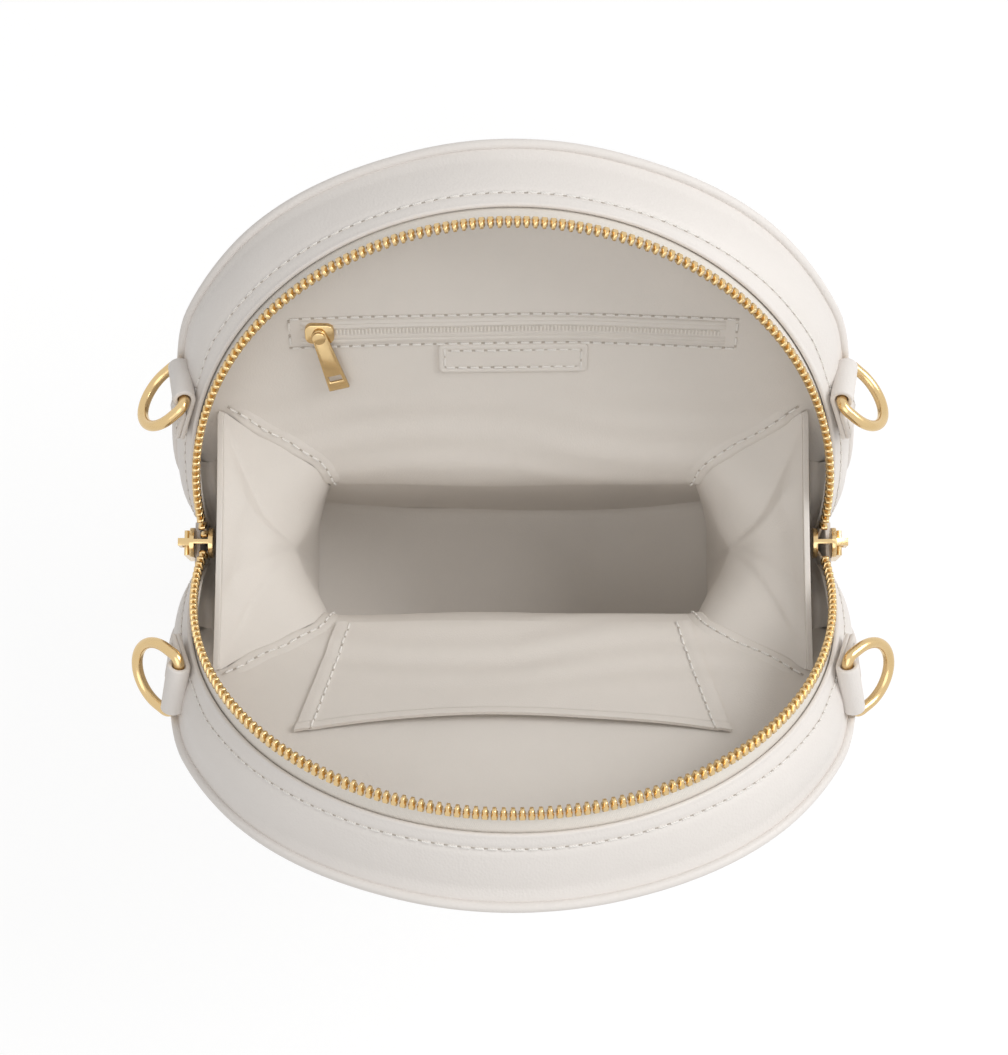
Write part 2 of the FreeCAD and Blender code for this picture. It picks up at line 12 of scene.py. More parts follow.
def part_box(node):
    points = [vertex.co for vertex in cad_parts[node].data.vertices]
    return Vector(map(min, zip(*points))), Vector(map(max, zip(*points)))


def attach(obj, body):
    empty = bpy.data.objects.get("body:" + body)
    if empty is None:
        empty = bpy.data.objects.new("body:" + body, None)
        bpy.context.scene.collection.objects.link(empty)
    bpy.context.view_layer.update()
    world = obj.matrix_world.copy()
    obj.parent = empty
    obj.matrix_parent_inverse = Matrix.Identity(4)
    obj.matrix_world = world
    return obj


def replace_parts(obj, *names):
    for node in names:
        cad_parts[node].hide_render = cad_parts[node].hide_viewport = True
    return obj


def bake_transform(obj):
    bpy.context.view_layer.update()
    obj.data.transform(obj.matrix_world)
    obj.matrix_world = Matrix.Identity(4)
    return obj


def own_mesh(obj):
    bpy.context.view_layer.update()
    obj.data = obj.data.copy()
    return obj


bl_info = {
    "name": "Circle Bag",
    "version": (1, 0, 0),
    "blender": (4, 5, 0),
    "location": "View3D > Sidebar > Circle Bag",
    "description": "Dresses the frame of a round clamshell bag in leather, lining, zips and metal fittings",
    "category": "Object",
}

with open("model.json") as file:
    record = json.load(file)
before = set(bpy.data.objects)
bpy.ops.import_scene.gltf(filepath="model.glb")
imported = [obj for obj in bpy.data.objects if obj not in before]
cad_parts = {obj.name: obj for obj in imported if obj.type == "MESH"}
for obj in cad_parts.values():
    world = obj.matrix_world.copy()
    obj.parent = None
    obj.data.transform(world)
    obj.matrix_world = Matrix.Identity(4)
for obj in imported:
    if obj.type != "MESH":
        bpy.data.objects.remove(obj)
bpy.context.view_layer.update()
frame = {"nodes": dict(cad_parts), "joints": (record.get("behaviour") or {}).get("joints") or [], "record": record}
JOINTS = {joint["name"]: joint for joint in frame["joints"]}

MM = 0.001
TINY = 1e-6
BACK, FRONT = 1, -1
RIGHT, LEFT = 1, -1


def node_low(node):
    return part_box(node)[0]


def node_high(node):
    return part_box(node)[1]


# Drum, read from the frame where it has the size
FOLD_Y, FOLD_Z = JOINTS["back_fold"]["pos_m"][1:]
CENTRE_Z = JOINTS["left_zip"]["pos_m"][2]
DISC_RADIUS = node_high("lower_back_panel").x
HALF_DEPTH = node_high("lower_back_panel").y
FLOOR_Z = node_low("lower_back_panel").z
LEATHER = HALF_DEPTH - node_low("lower_back_panel").y
PIPING_Y = (node_low("lower_back_piping").y + node_high("lower_back_piping").y) / 2
PIPING_RADIUS = (node_high("lower_back_piping").y - node_low("lower_back_piping").y) / 2
BAND_OUTER_Y = node_high("bottom_band").y
LINING_FACE = node_low("lower_back_lining").y
OPEN_ANGLE = math.radians(45)
CORNER_RADIUS = 45 * MM
SEAM_GAP = 0.1 * MM
SEAM_HEIGHT = 79 * MM
SEAM_LAP = 9 * MM
ALONG_SAMPLES = 241
DISC_SAMPLES = 30

# Places that follow from the sizes
BASE_DROP = CENTRE_Z - FLOOR_Z
CORNER_X = math.sqrt((DISC_RADIUS - CORNER_RADIUS) ** 2 - (BASE_DROP - CORNER_RADIUS) ** 2)
CORNER_TURN = math.atan2(CORNER_X, BASE_DROP - CORNER_RADIUS)
CORNER_END = CORNER_X + CORNER_RADIUS * CORNER_TURN
HALF_LOOP = CORNER_END + DISC_RADIUS * (math.pi - CORNER_TURN)

# Band
BAND_TAPER = 5.4 * MM
BAND_EDGE = 7.7 * MM
RIM_RISE = 0.9 * MM
RIM_RISE_RUN = 4.5 * MM

# Soft fold: half its height, and the halvings that find a point's share of the turn
BEND_REACH = 20 * MM
BEND_HALVINGS = 36

# Swell of an open half's rim, by angle above the drum's level diameter
FRONT_SWELL_SHARE = 0.6
SWELL_START, SWELL_RISE = math.radians(14), math.radians(15)
SWELL_FALL, SWELL_FALL_RUN = math.radians(42), math.radians(33)
SWELL_FALL_SHARE = 0.73
SWELL_EDGE_POWER = 6

# How much fuller the band's crown is by its angle above the drum's level diameter, least under the strap tabs
CROWN_ANGLES = np.radians([-12, -3, 9, 15, 24, 31, 44, 60, 75])
CROWN_MORE = np.array([0, 1.9, 1.9, 0.9, 0.9, 2.5, 2.0, 0.5, 0]) * MM


# Small helpers

def sizes():
    return bpy.context.scene.bag_sizes


def side_name(side):
    return "back" if side == BACK else "front"


def hand_name(hand):
    return "right" if hand == RIGHT else "left"


def half_body(side):
    return side_name(side) + "_half"


def smooth_step(value):
    value = np.clip(value, 0, 1)
    return value * value * (3 - 2 * value)


def joined(*parts):
    """Coordinates as the last axis of one array."""
    return np.stack(np.broadcast_arrays(*parts), axis=-1)


def unit(rows):
    return rows / np.linalg.norm(rows, axis=1)[:, None]


def there_and_back(first, second):
    """A closed section from a face and the face behind it."""
    return np.concatenate([first, second[::-1]])


# Drum geometry

def outline(distance, inset):
    """(x, z) on the closed drum's outline, by signed distance round it from the middle of the underside."""
    distance, inset = np.broadcast_arrays(np.asarray(distance, float), np.asarray(inset, float))
    along = np.abs(distance)
    bend = (along - CORNER_X) / CORNER_RADIUS
    turn = CORNER_TURN + (along - CORNER_END) / DISC_RADIUS
    corner, radius = CORNER_RADIUS - inset, DISC_RADIUS - inset
    corner_x = CORNER_X + corner * np.sin(bend)
    corner_z = FLOOR_Z + CORNER_RADIUS - corner * np.cos(bend)
    on_flat, on_corner = along < CORNER_X, along < CORNER_END
    x = np.where(on_flat, along, np.where(on_corner, corner_x, radius * np.sin(turn)))
    z = np.where(on_flat, FLOOR_Z + inset, np.where(on_corner, corner_z, CENTRE_Z - radius * np.cos(turn)))
    return x * np.sign(distance + (distance == 0)), z


def distance_at_height(z):
    """How far round the outline a height on the drum's side lies."""
    turn = math.acos((CENTRE_Z - z) / DISC_RADIUS)
    return CORNER_END + DISC_RADIUS * (turn - CORNER_TURN)


SEAM_DISTANCE = distance_at_height(SEAM_HEIGHT)


def full_loop():
    return np.linspace(-HALF_LOOP, HALF_LOOP, ALONG_SAMPLES)[:-1]


def over_top(distance):
    """A distance counted on past the top of the drum, as a signed one."""
    return np.where(distance > HALF_LOOP, distance - 2 * HALF_LOOP, distance)


def band_run(extra=0):
    """Distances from one side seam over the top to the other, counted on."""
    start = SEAM_DISTANCE - extra
    return np.linspace(start, 2 * HALF_LOOP - start, ALONG_SAMPLES)


def swept(section, distances):
    """An (inset, y) section carried round the closed outline: rows along it, columns round the section."""
    section = np.asarray(section, float)
    x, z = outline(np.asarray(distances)[:, None], section[None, :, 0])
    return joined(x, section[None, :, 1], z)


def disc_grid(rim_inset, profile, samples=DISC_SAMPLES):
    """Rows round the outline, columns from the disc's middle to its rim, at depths from profile(share)."""
    x, z = outline(full_loop(), rim_inset)
    share = np.sin(np.linspace(0, math.pi / 2, samples))
    return joined(x[:, None] * share, profile(share), CENTRE_Z + (z[:, None] - CENTRE_Z) * share)


def opened(points, side):
    """Turns closed back points out about the fold, softly across it; the front mirrors them."""
    points = np.array(points, float)
    y, z = points[..., 1] - FOLD_Y, points[..., 2] - FOLD_Z
    low, high = np.zeros_like(y), np.ones_like(y)
    for _ in range(BEND_HALVINGS):
        share = (low + high) / 2
        angle = OPEN_ANGLE * share
        height = z * np.cos(angle) - y * np.sin(angle)
        more = smooth_step((height + BEND_REACH) / (2 * BEND_REACH)) > share
        low, high = np.where(more, share, low), np.where(more, high, share)
    angle = OPEN_ANGLE * (low + high) / 2
    points[..., 1] = (FOLD_Y + y * np.cos(angle) + z * np.sin(angle)) * side
    points[..., 2] = FOLD_Z + z * np.cos(angle) - y * np.sin(angle)
    return points


def fuller(points, side):
    """Lets the rim of a half swell between its tabs and its top, and its band round out at the sides."""
    points = np.array(points, float)
    x, y, z = points[..., 0], points[..., 1], points[..., 2] - CENTRE_Z
    angle = np.arctan2(z, np.abs(x) + TINY)
    reach = np.hypot(x, z)
    swell = smooth_step((angle - SWELL_START) / SWELL_RISE)
    swell = swell * (1 - SWELL_FALL_SHARE * smooth_step((angle - SWELL_FALL) / SWELL_FALL_RUN))
    across = np.clip((y - BAND_EDGE) / (BAND_OUTER_Y - BAND_EDGE), 0, 1)
    outward = across * np.clip(reach / DISC_RADIUS, 0, 1) ** SWELL_EDGE_POWER
    crown = np.interp(angle, CROWN_ANGLES, CROWN_MORE) * np.sin(math.pi * across)
    most = sizes().rim_swell * (1 if side == BACK else FRONT_SWELL_SHARE)
    grown = 1 + (most * swell * outward + crown) / np.maximum(reach, MM)
    points[..., 0] = x * grown
    points[..., 2] = CENTRE_Z + z * grown
    return points


def full_and_open(points, side):
    return opened(fuller(points, side), side)


# Mesh helpers

SMOOTH_ANGLE = math.radians(50)


def grid_faces(rows, columns, wrap_rows=False, wrap_columns=False):
    faces = []
    for i in range(rows if wrap_rows else rows - 1):
        for j in range(columns if wrap_columns else columns - 1):
            right, below = (j + 1) % columns, ((i + 1) % rows) * columns
            faces.append((i * columns + j, i * columns + right, below + right, below + j))
    return faces


def shade_smooth(mesh, sharp=None):
    """Shades a mesh smoothly, up to an angle where one is given."""
    mesh.polygons.foreach_set("use_smooth", [True] * len(mesh.polygons))
    if sharp:
        mesh.set_sharp_from_angle(angle=sharp)


def placed(name, data):
    """A new object in the scene, at the origin."""
    made = bpy.data.objects.new(name, data)
    bpy.context.scene.collection.objects.link(made)
    return made


def doubled(front, behind):
    """Points and faces of a sheet from the grids of its two faces, closed round its edge."""
    rows, columns = front.shape[:2]
    count = rows * columns
    faces = grid_faces(rows, columns)
    faces += [tuple(count + k for k in reversed(face)) for face in faces]
    rim = list(range(columns)) + [i * columns + columns - 1 for i in range(1, rows)]
    rim += [(rows - 1) * columns + j for j in reversed(range(columns - 1))]
    rim += [i * columns for i in reversed(range(1, rows - 1))]
    faces += [(a, b, count + b, count + a) for a, b in zip(rim, rim[1:] + rim[:1])]
    return np.concatenate([front.reshape(-1, 3), behind.reshape(-1, 3)]), faces


def piece(name, points, faces, finish):
    """A new object with its place in its mesh: doubles merged, faces outwards, smooth up to an angle."""
    mesh = bpy.data.meshes.new(name)
    mesh.from_pydata([tuple(p) for p in np.asarray(points).reshape(-1, 3)], [], faces)
    bm = bmesh.new()
    bm.from_mesh(mesh)
    bmesh.ops.remove_doubles(bm, verts=bm.verts, dist=TINY)
    bmesh.ops.dissolve_degenerate(bm, edges=bm.edges, dist=TINY)
    bmesh.ops.recalc_face_normals(bm, faces=bm.faces)
    bm.to_mesh(mesh)
    bm.free()
    shade_smooth(mesh, SMOOTH_ANGLE)
    mesh.materials.append(finishes()[finish])
    made = placed(name, mesh)
    return made


def tube(name, grid, finish, closed=False):
    """A skin over rows of closed sections, with capped ends unless the rows close up."""
    rows, columns = grid.shape[:2]
    faces = grid_faces(rows, columns, wrap_rows=closed, wrap_columns=True)
    if not closed:
        faces += [tuple(range(columns)), tuple(range((rows - 1) * columns, rows * columns))]
    return piece(name, grid, faces, finish)


def across_fold(made):
    """Bakes a piece's place into its mesh."""
    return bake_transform(made)


# Nodes

class Value:
    """An output of a node, with the sums that the finishes need."""

    def __init__(self, nodes, socket):
        self.nodes, self.socket = nodes, socket

    def _maths(self, operation, *values):
        return self.nodes.node("ShaderNodeMath", {"operation": operation}, dict(enumerate(values)))

    def __add__(self, other):
        return self._maths("ADD", self, other)

    __radd__ = __add__

    def __sub__(self, other):
        return self._maths("SUBTRACT", self, other)

    def __rsub__(self, other):
        return self._maths("SUBTRACT", other, self)

    def __mul__(self, other):
        return self._maths("MULTIPLY", self, other)

    __rmul__ = __mul__

    def sine(self):
        return self._maths("SINE", self)


class Nodes:
    """Fills an empty node tree."""

    def __init__(self, tree):
        self.tree = tree
        tree.nodes.clear()

    def node(self, kind, settings=None, values=None, outputs=(0,)):
        """Adds a node: settings first, then values or links of its sockets. Gives the outputs asked for."""
        made = self.tree.nodes.new(kind)
        for key, value in (settings or {}).items():
            setattr(made, key, value)
        for key, value in (values or {}).items():
            if isinstance(value, Value):
                self.tree.links.new(value.socket, made.inputs[key])
            else:
                made.inputs[key].default_value = value
        found = [Value(self, made.outputs[key]) for key in outputs]
        return found[0] if len(found) == 1 else found

    def background_rays(self):
        """1 for the rays that look at the background, straight or by way of metal or glass."""
        rays = ("Is Camera Ray", "Is Glossy Ray", "Is Transmission Ray")
        camera, glossy, transmitted = self.node("ShaderNodeLightPath", outputs=rays)
        return camera + glossy + transmitted


# Repeats

REPEAT = "small pieces on points"
REPEAT_INPUTS = {"Points": "Geometry", "Small piece": "Object", "Scale": "Float", "Finish": "Material"}
FACING = "facing"
PATH_SAMPLES = 1200

# Stitches
THREAD_LIFT = 0.16 * MM
# Thickness of the flat dark dashes between stitches: painted shade where the thread dips into its holes
HOLE_SHADE_DEPTH = 0.16 * MM
ROUNDED_SHARE = 0.4


def repeat_tree():
    """One node tree that sets a small piece on points and turns it by a stored facing."""
    tree = bpy.data.node_groups.get(REPEAT)
    if tree:
        return tree
    tree = bpy.data.node_groups.new(REPEAT, "GeometryNodeTree")
    for name, kind in REPEAT_INPUTS.items():
        tree.interface.new_socket(name, in_out="INPUT", socket_type="NodeSocket" + kind)
    tree.interface.items_tree["Scale"].default_value = 1
    tree.interface.new_socket("Pieces", in_out="OUTPUT", socket_type="NodeSocketGeometry")
    nodes = Nodes(tree)
    points, small, scale, finish = nodes.node("NodeGroupInput", outputs=tuple(REPEAT_INPUTS))
    facing = nodes.node(
        "GeometryNodeInputNamedAttribute", {"data_type": "FLOAT_VECTOR"}, {"Name": FACING}, ("Attribute",))
    turn = nodes.node("FunctionNodeEulerToRotation", None, {"Euler": facing})
    shape = nodes.node("GeometryNodeObjectInfo", None, {"Object": small}, ("Geometry",))
    set_out = nodes.node("GeometryNodeInstanceOnPoints", None, {
        "Points": points, "Instance": shape, "Rotation": turn, "Scale": scale})
    real = nodes.node("GeometryNodeRealizeInstances", None, {"Geometry": set_out})
    paint = nodes.node("GeometryNodeSetMaterial", None, {"Geometry": real, "Material": finish})
    nodes.node("NodeGroupOutput", None, {"Pieces": paint}, ())
    return tree


def facings(forward, up):
    """Euler turns that carry X to forward and Z as near as possible to up."""
    turns = []
    for x, z in zip(forward, up):
        x = Vector(x).normalized()
        y = Vector(z).cross(x).normalized()
        turns.append(Matrix((x, y, x.cross(y))).transposed().to_euler())
    return turns


def repeated(name, places, forward, up, small, finish, slot):
    """Sets copies of a small mesh on places and returns them as one plain mesh object."""
    mesh = bpy.data.meshes.new(name + " places")
    mesh.from_pydata([tuple(p) for p in places], [], [])
    attribute = mesh.attributes.new(FACING, "FLOAT_VECTOR", "POINT")
    attribute.data.foreach_set("vector", np.array(facings(forward, up), float).ravel())
    carrier, sample = placed(name + " places", mesh), placed(name + " sample", small)
    tree = repeat_tree()
    modifier = carrier.modifiers.new("repeat", "NODES")
    modifier.node_group = tree
    sockets = {item.name: item.identifier for item in tree.interface.items_tree if item.in_out == "INPUT"}
    modifier[sockets["Small piece"]] = sample
    modifier[sockets["Scale"]] = 1.0
    modifier[sockets["Finish"]] = finishes()[finish]
    graph = bpy.context.evaluated_depsgraph_get()
    graph.update()
    result = bpy.data.meshes.new_from_object(carrier.evaluated_get(graph))
    result.name = name
    carrier.modifiers.clear()
    for thing in (carrier, sample):
        bpy.data.objects.remove(thing)
    if not result.materials:
        result.materials.append(finishes()[finish])
    made = placed(name, result)
    return made


def small_block(name, size, bevel, segments=2):
    """A small block with rounded edges, centred on its own origin."""
    mesh = bpy.data.meshes.new(name)
    bm = bmesh.new()
    bmesh.ops.create_cube(bm, size=1, matrix=Matrix.Diagonal((*size, 1)))
    bmesh.ops.bevel(bm, geom=bm.edges[:], offset=bevel, segments=segments, affect="EDGES", profile=0.5)
    bm.to_mesh(mesh)
    bm.free()
    shade_smooth(mesh)
    return mesh


def spaced(path, pitch):
    """Even places along path(t, lift), with their directions and the way up from the surface."""
    t = np.linspace(0, 1, PATH_SAMPLES)
    line, above = path(t, 0), path(t, MM)
    steps = np.linalg.norm(np.diff(line, axis=0), axis=1)
    run = np.concatenate([[0], np.cumsum(steps)])
    count = max(int(run[-1] / pitch), 1)
    at = (np.arange(count) + 0.5) * run[-1] / count

    def pick(values):
        return np.stack([np.interp(at, run, values[:, k]) for k in range(3)], axis=1)

    return pick(line), pick(np.gradient(line, axis=0)), pick(above - line)


def stitched(name, paths):
    """A row of stitches along each path with dark dashes of painted shade between them, where the thread dips into
    the needle holes; gives the thread and the painted shade.
    """
    length, width, pitch = sizes().stitch_length, sizes().stitch_width, sizes().stitch_pitch
    rows = [spaced(path, pitch) for path in paths]
    places, forward, up = (np.concatenate(part) for part in zip(*rows))
    thread = small_block("stitch", (length, width, width), width * ROUNDED_SHARE)
    # The dark dashes between the stitches are painted shade, not a colour of the leather
    hole = small_block("needle hole", (pitch - length, width, HOLE_SHADE_DEPTH), HOLE_SHADE_DEPTH * ROUNDED_SHARE, 1)
    raised, between = places + unit(up) * THREAD_LIFT, places + unit(forward) * pitch / 2
    return (repeated(name, raised, forward, up, thread, "thread", "leather"),
            repeated(name + "_holes", between, forward, up, hole, "hole", "leather"))


# Finishes

# Sockets of a mix node that mixes colours
MIX_SHARE, MIX_FIRST, MIX_SECOND, MIX_RESULT = 0, 6, 7, 2
WHITE = (1, 1, 1, 1)


class Finish(Nodes):
    """One material, its patterns in object coordinates."""

    def __init__(self, name):
        self.material = bpy.data.materials.new(name)
        self.material.use_nodes = True
        super().__init__(self.material.node_tree)

    def place(self):
        return self.node("ShaderNodeTexCoord", outputs=("Object",))

    def axes(self):
        return self.node("ShaderNodeSeparateXYZ", None, {0: self.place()}, (0, 1, 2))

    def noise(self, scale, detail, roughness=0.55):
        return self.node("ShaderNodeTexNoise", None, {
            "Vector": self.place(), "Scale": scale, "Detail": detail, "Roughness": roughness})

    def cells(self, scale):
        return self.node("ShaderNodeTexVoronoi", {"feature": "F1"}, {"Vector": self.place(), "Scale": scale})

    def shades(self, share, colour, dark, light):
        """A colour between a darker and a lighter one of its own."""
        first, second = ((*[channel * level for channel in colour], 1) for level in (dark, light))
        return self.node("ShaderNodeMix", {"data_type": "RGBA"}, {
            MIX_SHARE: share, MIX_FIRST: first, MIX_SECOND: second}, (MIX_RESULT,))

    def ranged(self, value, low, high):
        return self.node("ShaderNodeMapRange", None, {"Value": value, "To Min": low, "To Max": high})

    def bump(self, height, strength, depth):
        return self.node("ShaderNodeBump", None, {"Height": height, "Strength": strength, "Distance": depth})

    def shader(self, **values):
        named = {key.replace("_", " "): value for key, value in values.items()}
        return self.node("ShaderNodeBsdfPrincipled", None, named)

    def finished(self, shader):
        self.node("ShaderNodeOutputMaterial", None, {"Surface": shader}, ())
        return self.material


def leather_finish(name, colour, grain_scale, grain_depth, rough):
    """Smooth leather: pebbled grain, pores, soft mottling and a low sheen."""
    finish = Finish(name)
    grain = finish.cells(grain_scale) + 0.6 * finish.noise(grain_scale * 0.45, detail=4)
    crease = finish.noise(scale=140, detail=5, roughness=0.6)
    mottle = finish.noise(scale=26, detail=3)
    tone = finish.ranged(0.65 * mottle + 0.35 * crease, low=0, high=1)
    return finish.finished(finish.shader(
        Base_Color=finish.shades(tone, colour, dark=0.94, light=1.03),
        Roughness=finish.ranged(grain * 0.6 + crease * 0.4, low=rough - 0.07, high=rough + 0.09),
        Normal=finish.bump(grain + 0.8 * crease, strength=0.35, depth=grain_depth),
        Specular_IOR_Level=0.42,
    ))


def gold_finish(name, colour):
    """Plated metal, lightly worn."""
    finish = Finish(name)
    wear = finish.noise(scale=900, detail=4)
    tint = finish.noise(scale=60, detail=2)
    return finish.finished(finish.shader(
        Base_Color=finish.shades(tint, colour, dark=0.95, light=1.04),
        Metallic=1.0,
        Roughness=finish.ranged(wear, low=0.16, high=0.27),
        Normal=finish.bump(wear, strength=0.12, depth=0.05 * MM),
    ))


def tape_finish(name, colour):
    """Woven zip tape: crossed ribs under a fibre noise."""
    finish = Finish(name)
    x, y, z = finish.axes()
    ribs_per_turn = 6000
    ribs = ((x + z) * ribs_per_turn).sine() * ((x - z + y) * ribs_per_turn).sine()
    fibre = finish.noise(scale=2500, detail=2)
    return finish.finished(finish.shader(
        Base_Color=finish.shades(fibre, colour, dark=0.9, light=1.02),
        Roughness=0.85,
        Normal=finish.bump(0.5 * ribs + fibre, strength=0.5, depth=0.12 * MM),
    ))


def thread_finish(name, colour):
    """Twisted sewing thread."""
    finish = Finish(name)
    x, y, z = finish.axes()
    turns = 8000
    twist = ((x + y + z) * turns).sine()
    return finish.finished(finish.shader(
        Base_Color=finish.shades(finish.ranged(twist, low=0, high=1), colour, dark=0.9, light=1.03),
        Roughness=0.6,
        Normal=finish.bump(twist, strength=0.4, depth=0.06 * MM),
    ))


FINISHES = {}


def finishes():
    if FINISHES:
        return FINISHES
    colours = bpy.context.scene.bag_colours
    FINISHES.update(
        leather=leather_finish(
            "outer leather", colours.leather, grain_scale=1300, grain_depth=0.16 * MM, rough=0.47),
        lining=leather_finish(
            "lining leather", colours.lining, grain_scale=1700, grain_depth=0.10 * MM, rough=0.57),
        gold=gold_finish("gold plating", colours.gold),
        tape=tape_finish("zip tape", colours.tape),
        thread=thread_finish("sewing thread", colours.thread),
        # Dark colour for the dashes between stitches: painted shade
        hole=leather_finish(
            "needle holes", colours.hole, grain_scale=1500, grain_depth=0.02 * MM, rough=0.7),
    )
    return FINISHES


# Shell pieces

PUFF_POWER = 4
PIPING_SIDES = 14
STITCH_INSET = 3.4 * MM
STITCH_SINK = 0.45 * MM
STITCH_SPREAD = 0.9 * MM
BAND_FACE_SAMPLES = 34
LIP_SAMPLES = 9
BAND_BACK_SAMPLES = 6
BASE_ACROSS_SAMPLES = 45
BASE_ALONG_SAMPLES = 161
LAP_SAMPLES = 9
LAP_RISE = 1.76 * MM
LAP_STITCH_INSET = 2.2 * MM
LAP_STITCH_END = 1.5 * MM


def make_panel(side):
    """A leather disc with a soft bulge, in place of the frame's panel and its padding."""
    puff = sizes().panel_puff
    outer = disc_grid(0, lambda share: HALF_DEPTH + puff * (1 - share ** PUFF_POWER))
    inner = disc_grid(0, lambda share: 0 * share + HALF_DEPTH - LEATHER)
    grid = np.concatenate([outer, inner[:, ::-1]], axis=1)
    faces = grid_faces(*grid.shape[:2], wrap_rows=True)
    name = side_name(side)
    made = piece(name + "_leather_disc", full_and_open(grid, side), faces, "leather")
    across_fold(made)
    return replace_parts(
        made, f"upper_{name}_panel", f"lower_{name}_panel", f"{name}_padding", f"lower_{name}_padding")


def make_piping(side):
    """The welt between a disc and the bands, flat where it stands on the ground."""
    turn = np.linspace(0, 2 * math.pi, PIPING_SIDES, endpoint=False)
    inset = -PIPING_RADIUS - SEAM_GAP + PIPING_RADIUS * np.cos(turn)
    grid = swept(joined(inset, PIPING_Y + PIPING_RADIUS * np.sin(turn)), full_loop())
    grid[..., 2] = np.maximum(grid[..., 2], 0)
    name = side_name(side)
    made = tube(name + "_leather_piping", full_and_open(grid, side), "leather", closed=True)
    across_fold(made)
    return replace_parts(made, f"{name}_piping", f"lower_{name}_piping")


def band_inset(y):
    """How far the band's outer face lies inside the drum's edge at a depth."""
    share = (BAND_OUTER_Y - np.abs(y)) / (BAND_OUTER_Y - BAND_EDGE)
    return BAND_TAPER * np.minimum(share, 1)


def rim_rise(y):
    """How far the band curls up to the piping at its edge."""
    return RIM_RISE * smooth_step(1 - (BAND_OUTER_Y - np.abs(y)) / RIM_RISE_RUN)


def band_face(y):
    """A zip band's outer face with its soft crown and the dip along its stitch row."""
    across = (BAND_OUTER_Y - y) / (BAND_OUTER_Y - BAND_EDGE)
    crown = sizes().band_crown * np.sin(math.pi * np.clip(across, 0, 1))
    dip = STITCH_SINK * np.exp(-((y - BAND_EDGE - STITCH_INSET) / STITCH_SPREAD) ** 2)
    return band_inset(y) - crown - rim_rise(y) + dip


def make_zip_band(side):
    """The half of the band above the side seams, with a rounded lip at the zip."""
    y = np.linspace(BAND_OUTER_Y, BAND_EDGE, BAND_FACE_SAMPLES)
    turn = np.linspace(0, math.pi, LIP_SAMPLES)[1:-1]
    half = LEATHER / 2
    lip = joined(band_inset(BAND_EDGE) + half - np.cos(turn) * half, BAND_EDGE - np.sin(turn) * half)
    behind = np.linspace(BAND_EDGE, BAND_OUTER_Y, BAND_BACK_SAMPLES)
    section = np.concatenate([joined(band_face(y), y), lip, joined(band_inset(behind) + LEATHER, behind)])
    grid = swept(section, over_top(band_run(SEAM_LAP)))
    name = side_name(side)
    made = tube(name + "_zip_band", full_and_open(grid, side), "leather")
    across_fold(made)
    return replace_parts(made, f"{name}_band")


def band_stitches(side):
    """The row of stitches along a zip band's lip."""
    run = band_run()
    y = BAND_EDGE + STITCH_INSET

    def path(t, lift):
        distance = np.interp(t, np.linspace(0, 1, len(run)), run)
        x, z = outline(over_top(distance), band_face(y) - lift)
        return full_and_open(joined(x, y, z), side)

    for made in stitched(side_name(side) + "_band_stitches", [path]):
        across_fold(made)


def base_face(y):
    """The base band's outer face, with a soft crown on each side of its middle."""
    return band_inset(y) - sizes().band_crown * np.abs(np.sin(math.pi * y / BAND_OUTER_Y)) - rim_rise(y)


def lap_rise(from_end):
    """How far the base band rises over a zip band, by the distance from its end."""
    return LAP_RISE * smooth_step(1 - from_end / SEAM_LAP)


def make_base_band():
    """The band under the bag, lapped over the zip bands at both side seams."""
    y = np.linspace(BAND_OUTER_Y, -BAND_OUTER_Y, BASE_ACROSS_SAMPLES)
    section = there_and_back(joined(base_face(y), y), joined(band_inset(y) + LEATHER, y))
    end, middle = SEAM_DISTANCE, SEAM_DISTANCE - SEAM_LAP
    distances = np.concatenate([
        -end + np.linspace(0, SEAM_LAP, LAP_SAMPLES), np.linspace(-middle, middle, BASE_ALONG_SAMPLES)[1:-1],
        end - np.linspace(SEAM_LAP, 0, LAP_SAMPLES)])
    lift = lap_rise(end - np.abs(distances))
    x, z = outline(distances[:, None], section[None, :, 0] - lift[:, None])
    made = tube("base_leather_band", joined(x, section[None, :, 1], z), "leather")
    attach(made, "base")
    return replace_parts(made, "bottom_band")


def seam_stitches():
    """A row of stitches along each end of the base band."""
    def seam(hand):
        def path(t, lift):
            y = (2 * t - 1) * (BAND_OUTER_Y - LAP_STITCH_END)
            inset = base_face(y) - lap_rise(LAP_STITCH_INSET) - lift
            x, z = outline(hand * (SEAM_DISTANCE - LAP_STITCH_INSET), inset)
            return joined(x, y, z)
        return path

    for made in stitched("base_band_stitches", [seam(LEFT), seam(RIGHT)]):
        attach(made, "base")


# Main zip

TOOTH_PITCH = 2.54 * MM
TOOTH_DEPTH = 3.4 * MM
TOOTH_THICKNESS = 2.5 * MM
TOOTH_MIDDLE_Y = 0.9 * MM
TOOTH_RADIUS = DISC_RADIUS - 8.35 * MM
TOOTH_SHARP = math.radians(45)
FIRST_TOOTH = math.radians(-6.2)
# Sections of a tooth from its head to its legs: share of its depth, width and share of its thickness
TOOTH_STATIONS = (
    (-0.5, 0.85 * MM, 0.5), (-0.43, 1.15 * MM, 0.8), (-0.1, 1.2 * MM, 0.92),
    (0.02, 1.9 * MM, 1.0), (0.42, 1.95 * MM, 1.0), (0.5, 1.7 * MM, 0.75))
TOOTH_CUT = 1 - 0.32
TOOTH_CORNERS = (
    (-1, -TOOTH_CUT), (-TOOTH_CUT, -1), (TOOTH_CUT, -1), (1, -TOOTH_CUT),
    (1, TOOTH_CUT), (TOOTH_CUT, 1), (-TOOTH_CUT, 1), (-1, TOOTH_CUT))

TAPE = 0.7 * MM
TAPE_RISE = 1.3 * MM
TAPE_LAP = SEAM_LAP - 2 * MM
TAPE_EDGE_Y = 1.1 * MM
TAPE_FLAT_Y = 3.0 * MM
TAPE_OUTER_Y = 12 * MM
TAPE_SAMPLES = 6
# The tapes part below the sliders: how far, from which drop below the drum's centre, and over which height
TAPE_PARTING = 1.6 * MM
TAPE_PARTING_DROP = 2 * MM
TAPE_PARTING_RUN = 8 * MM

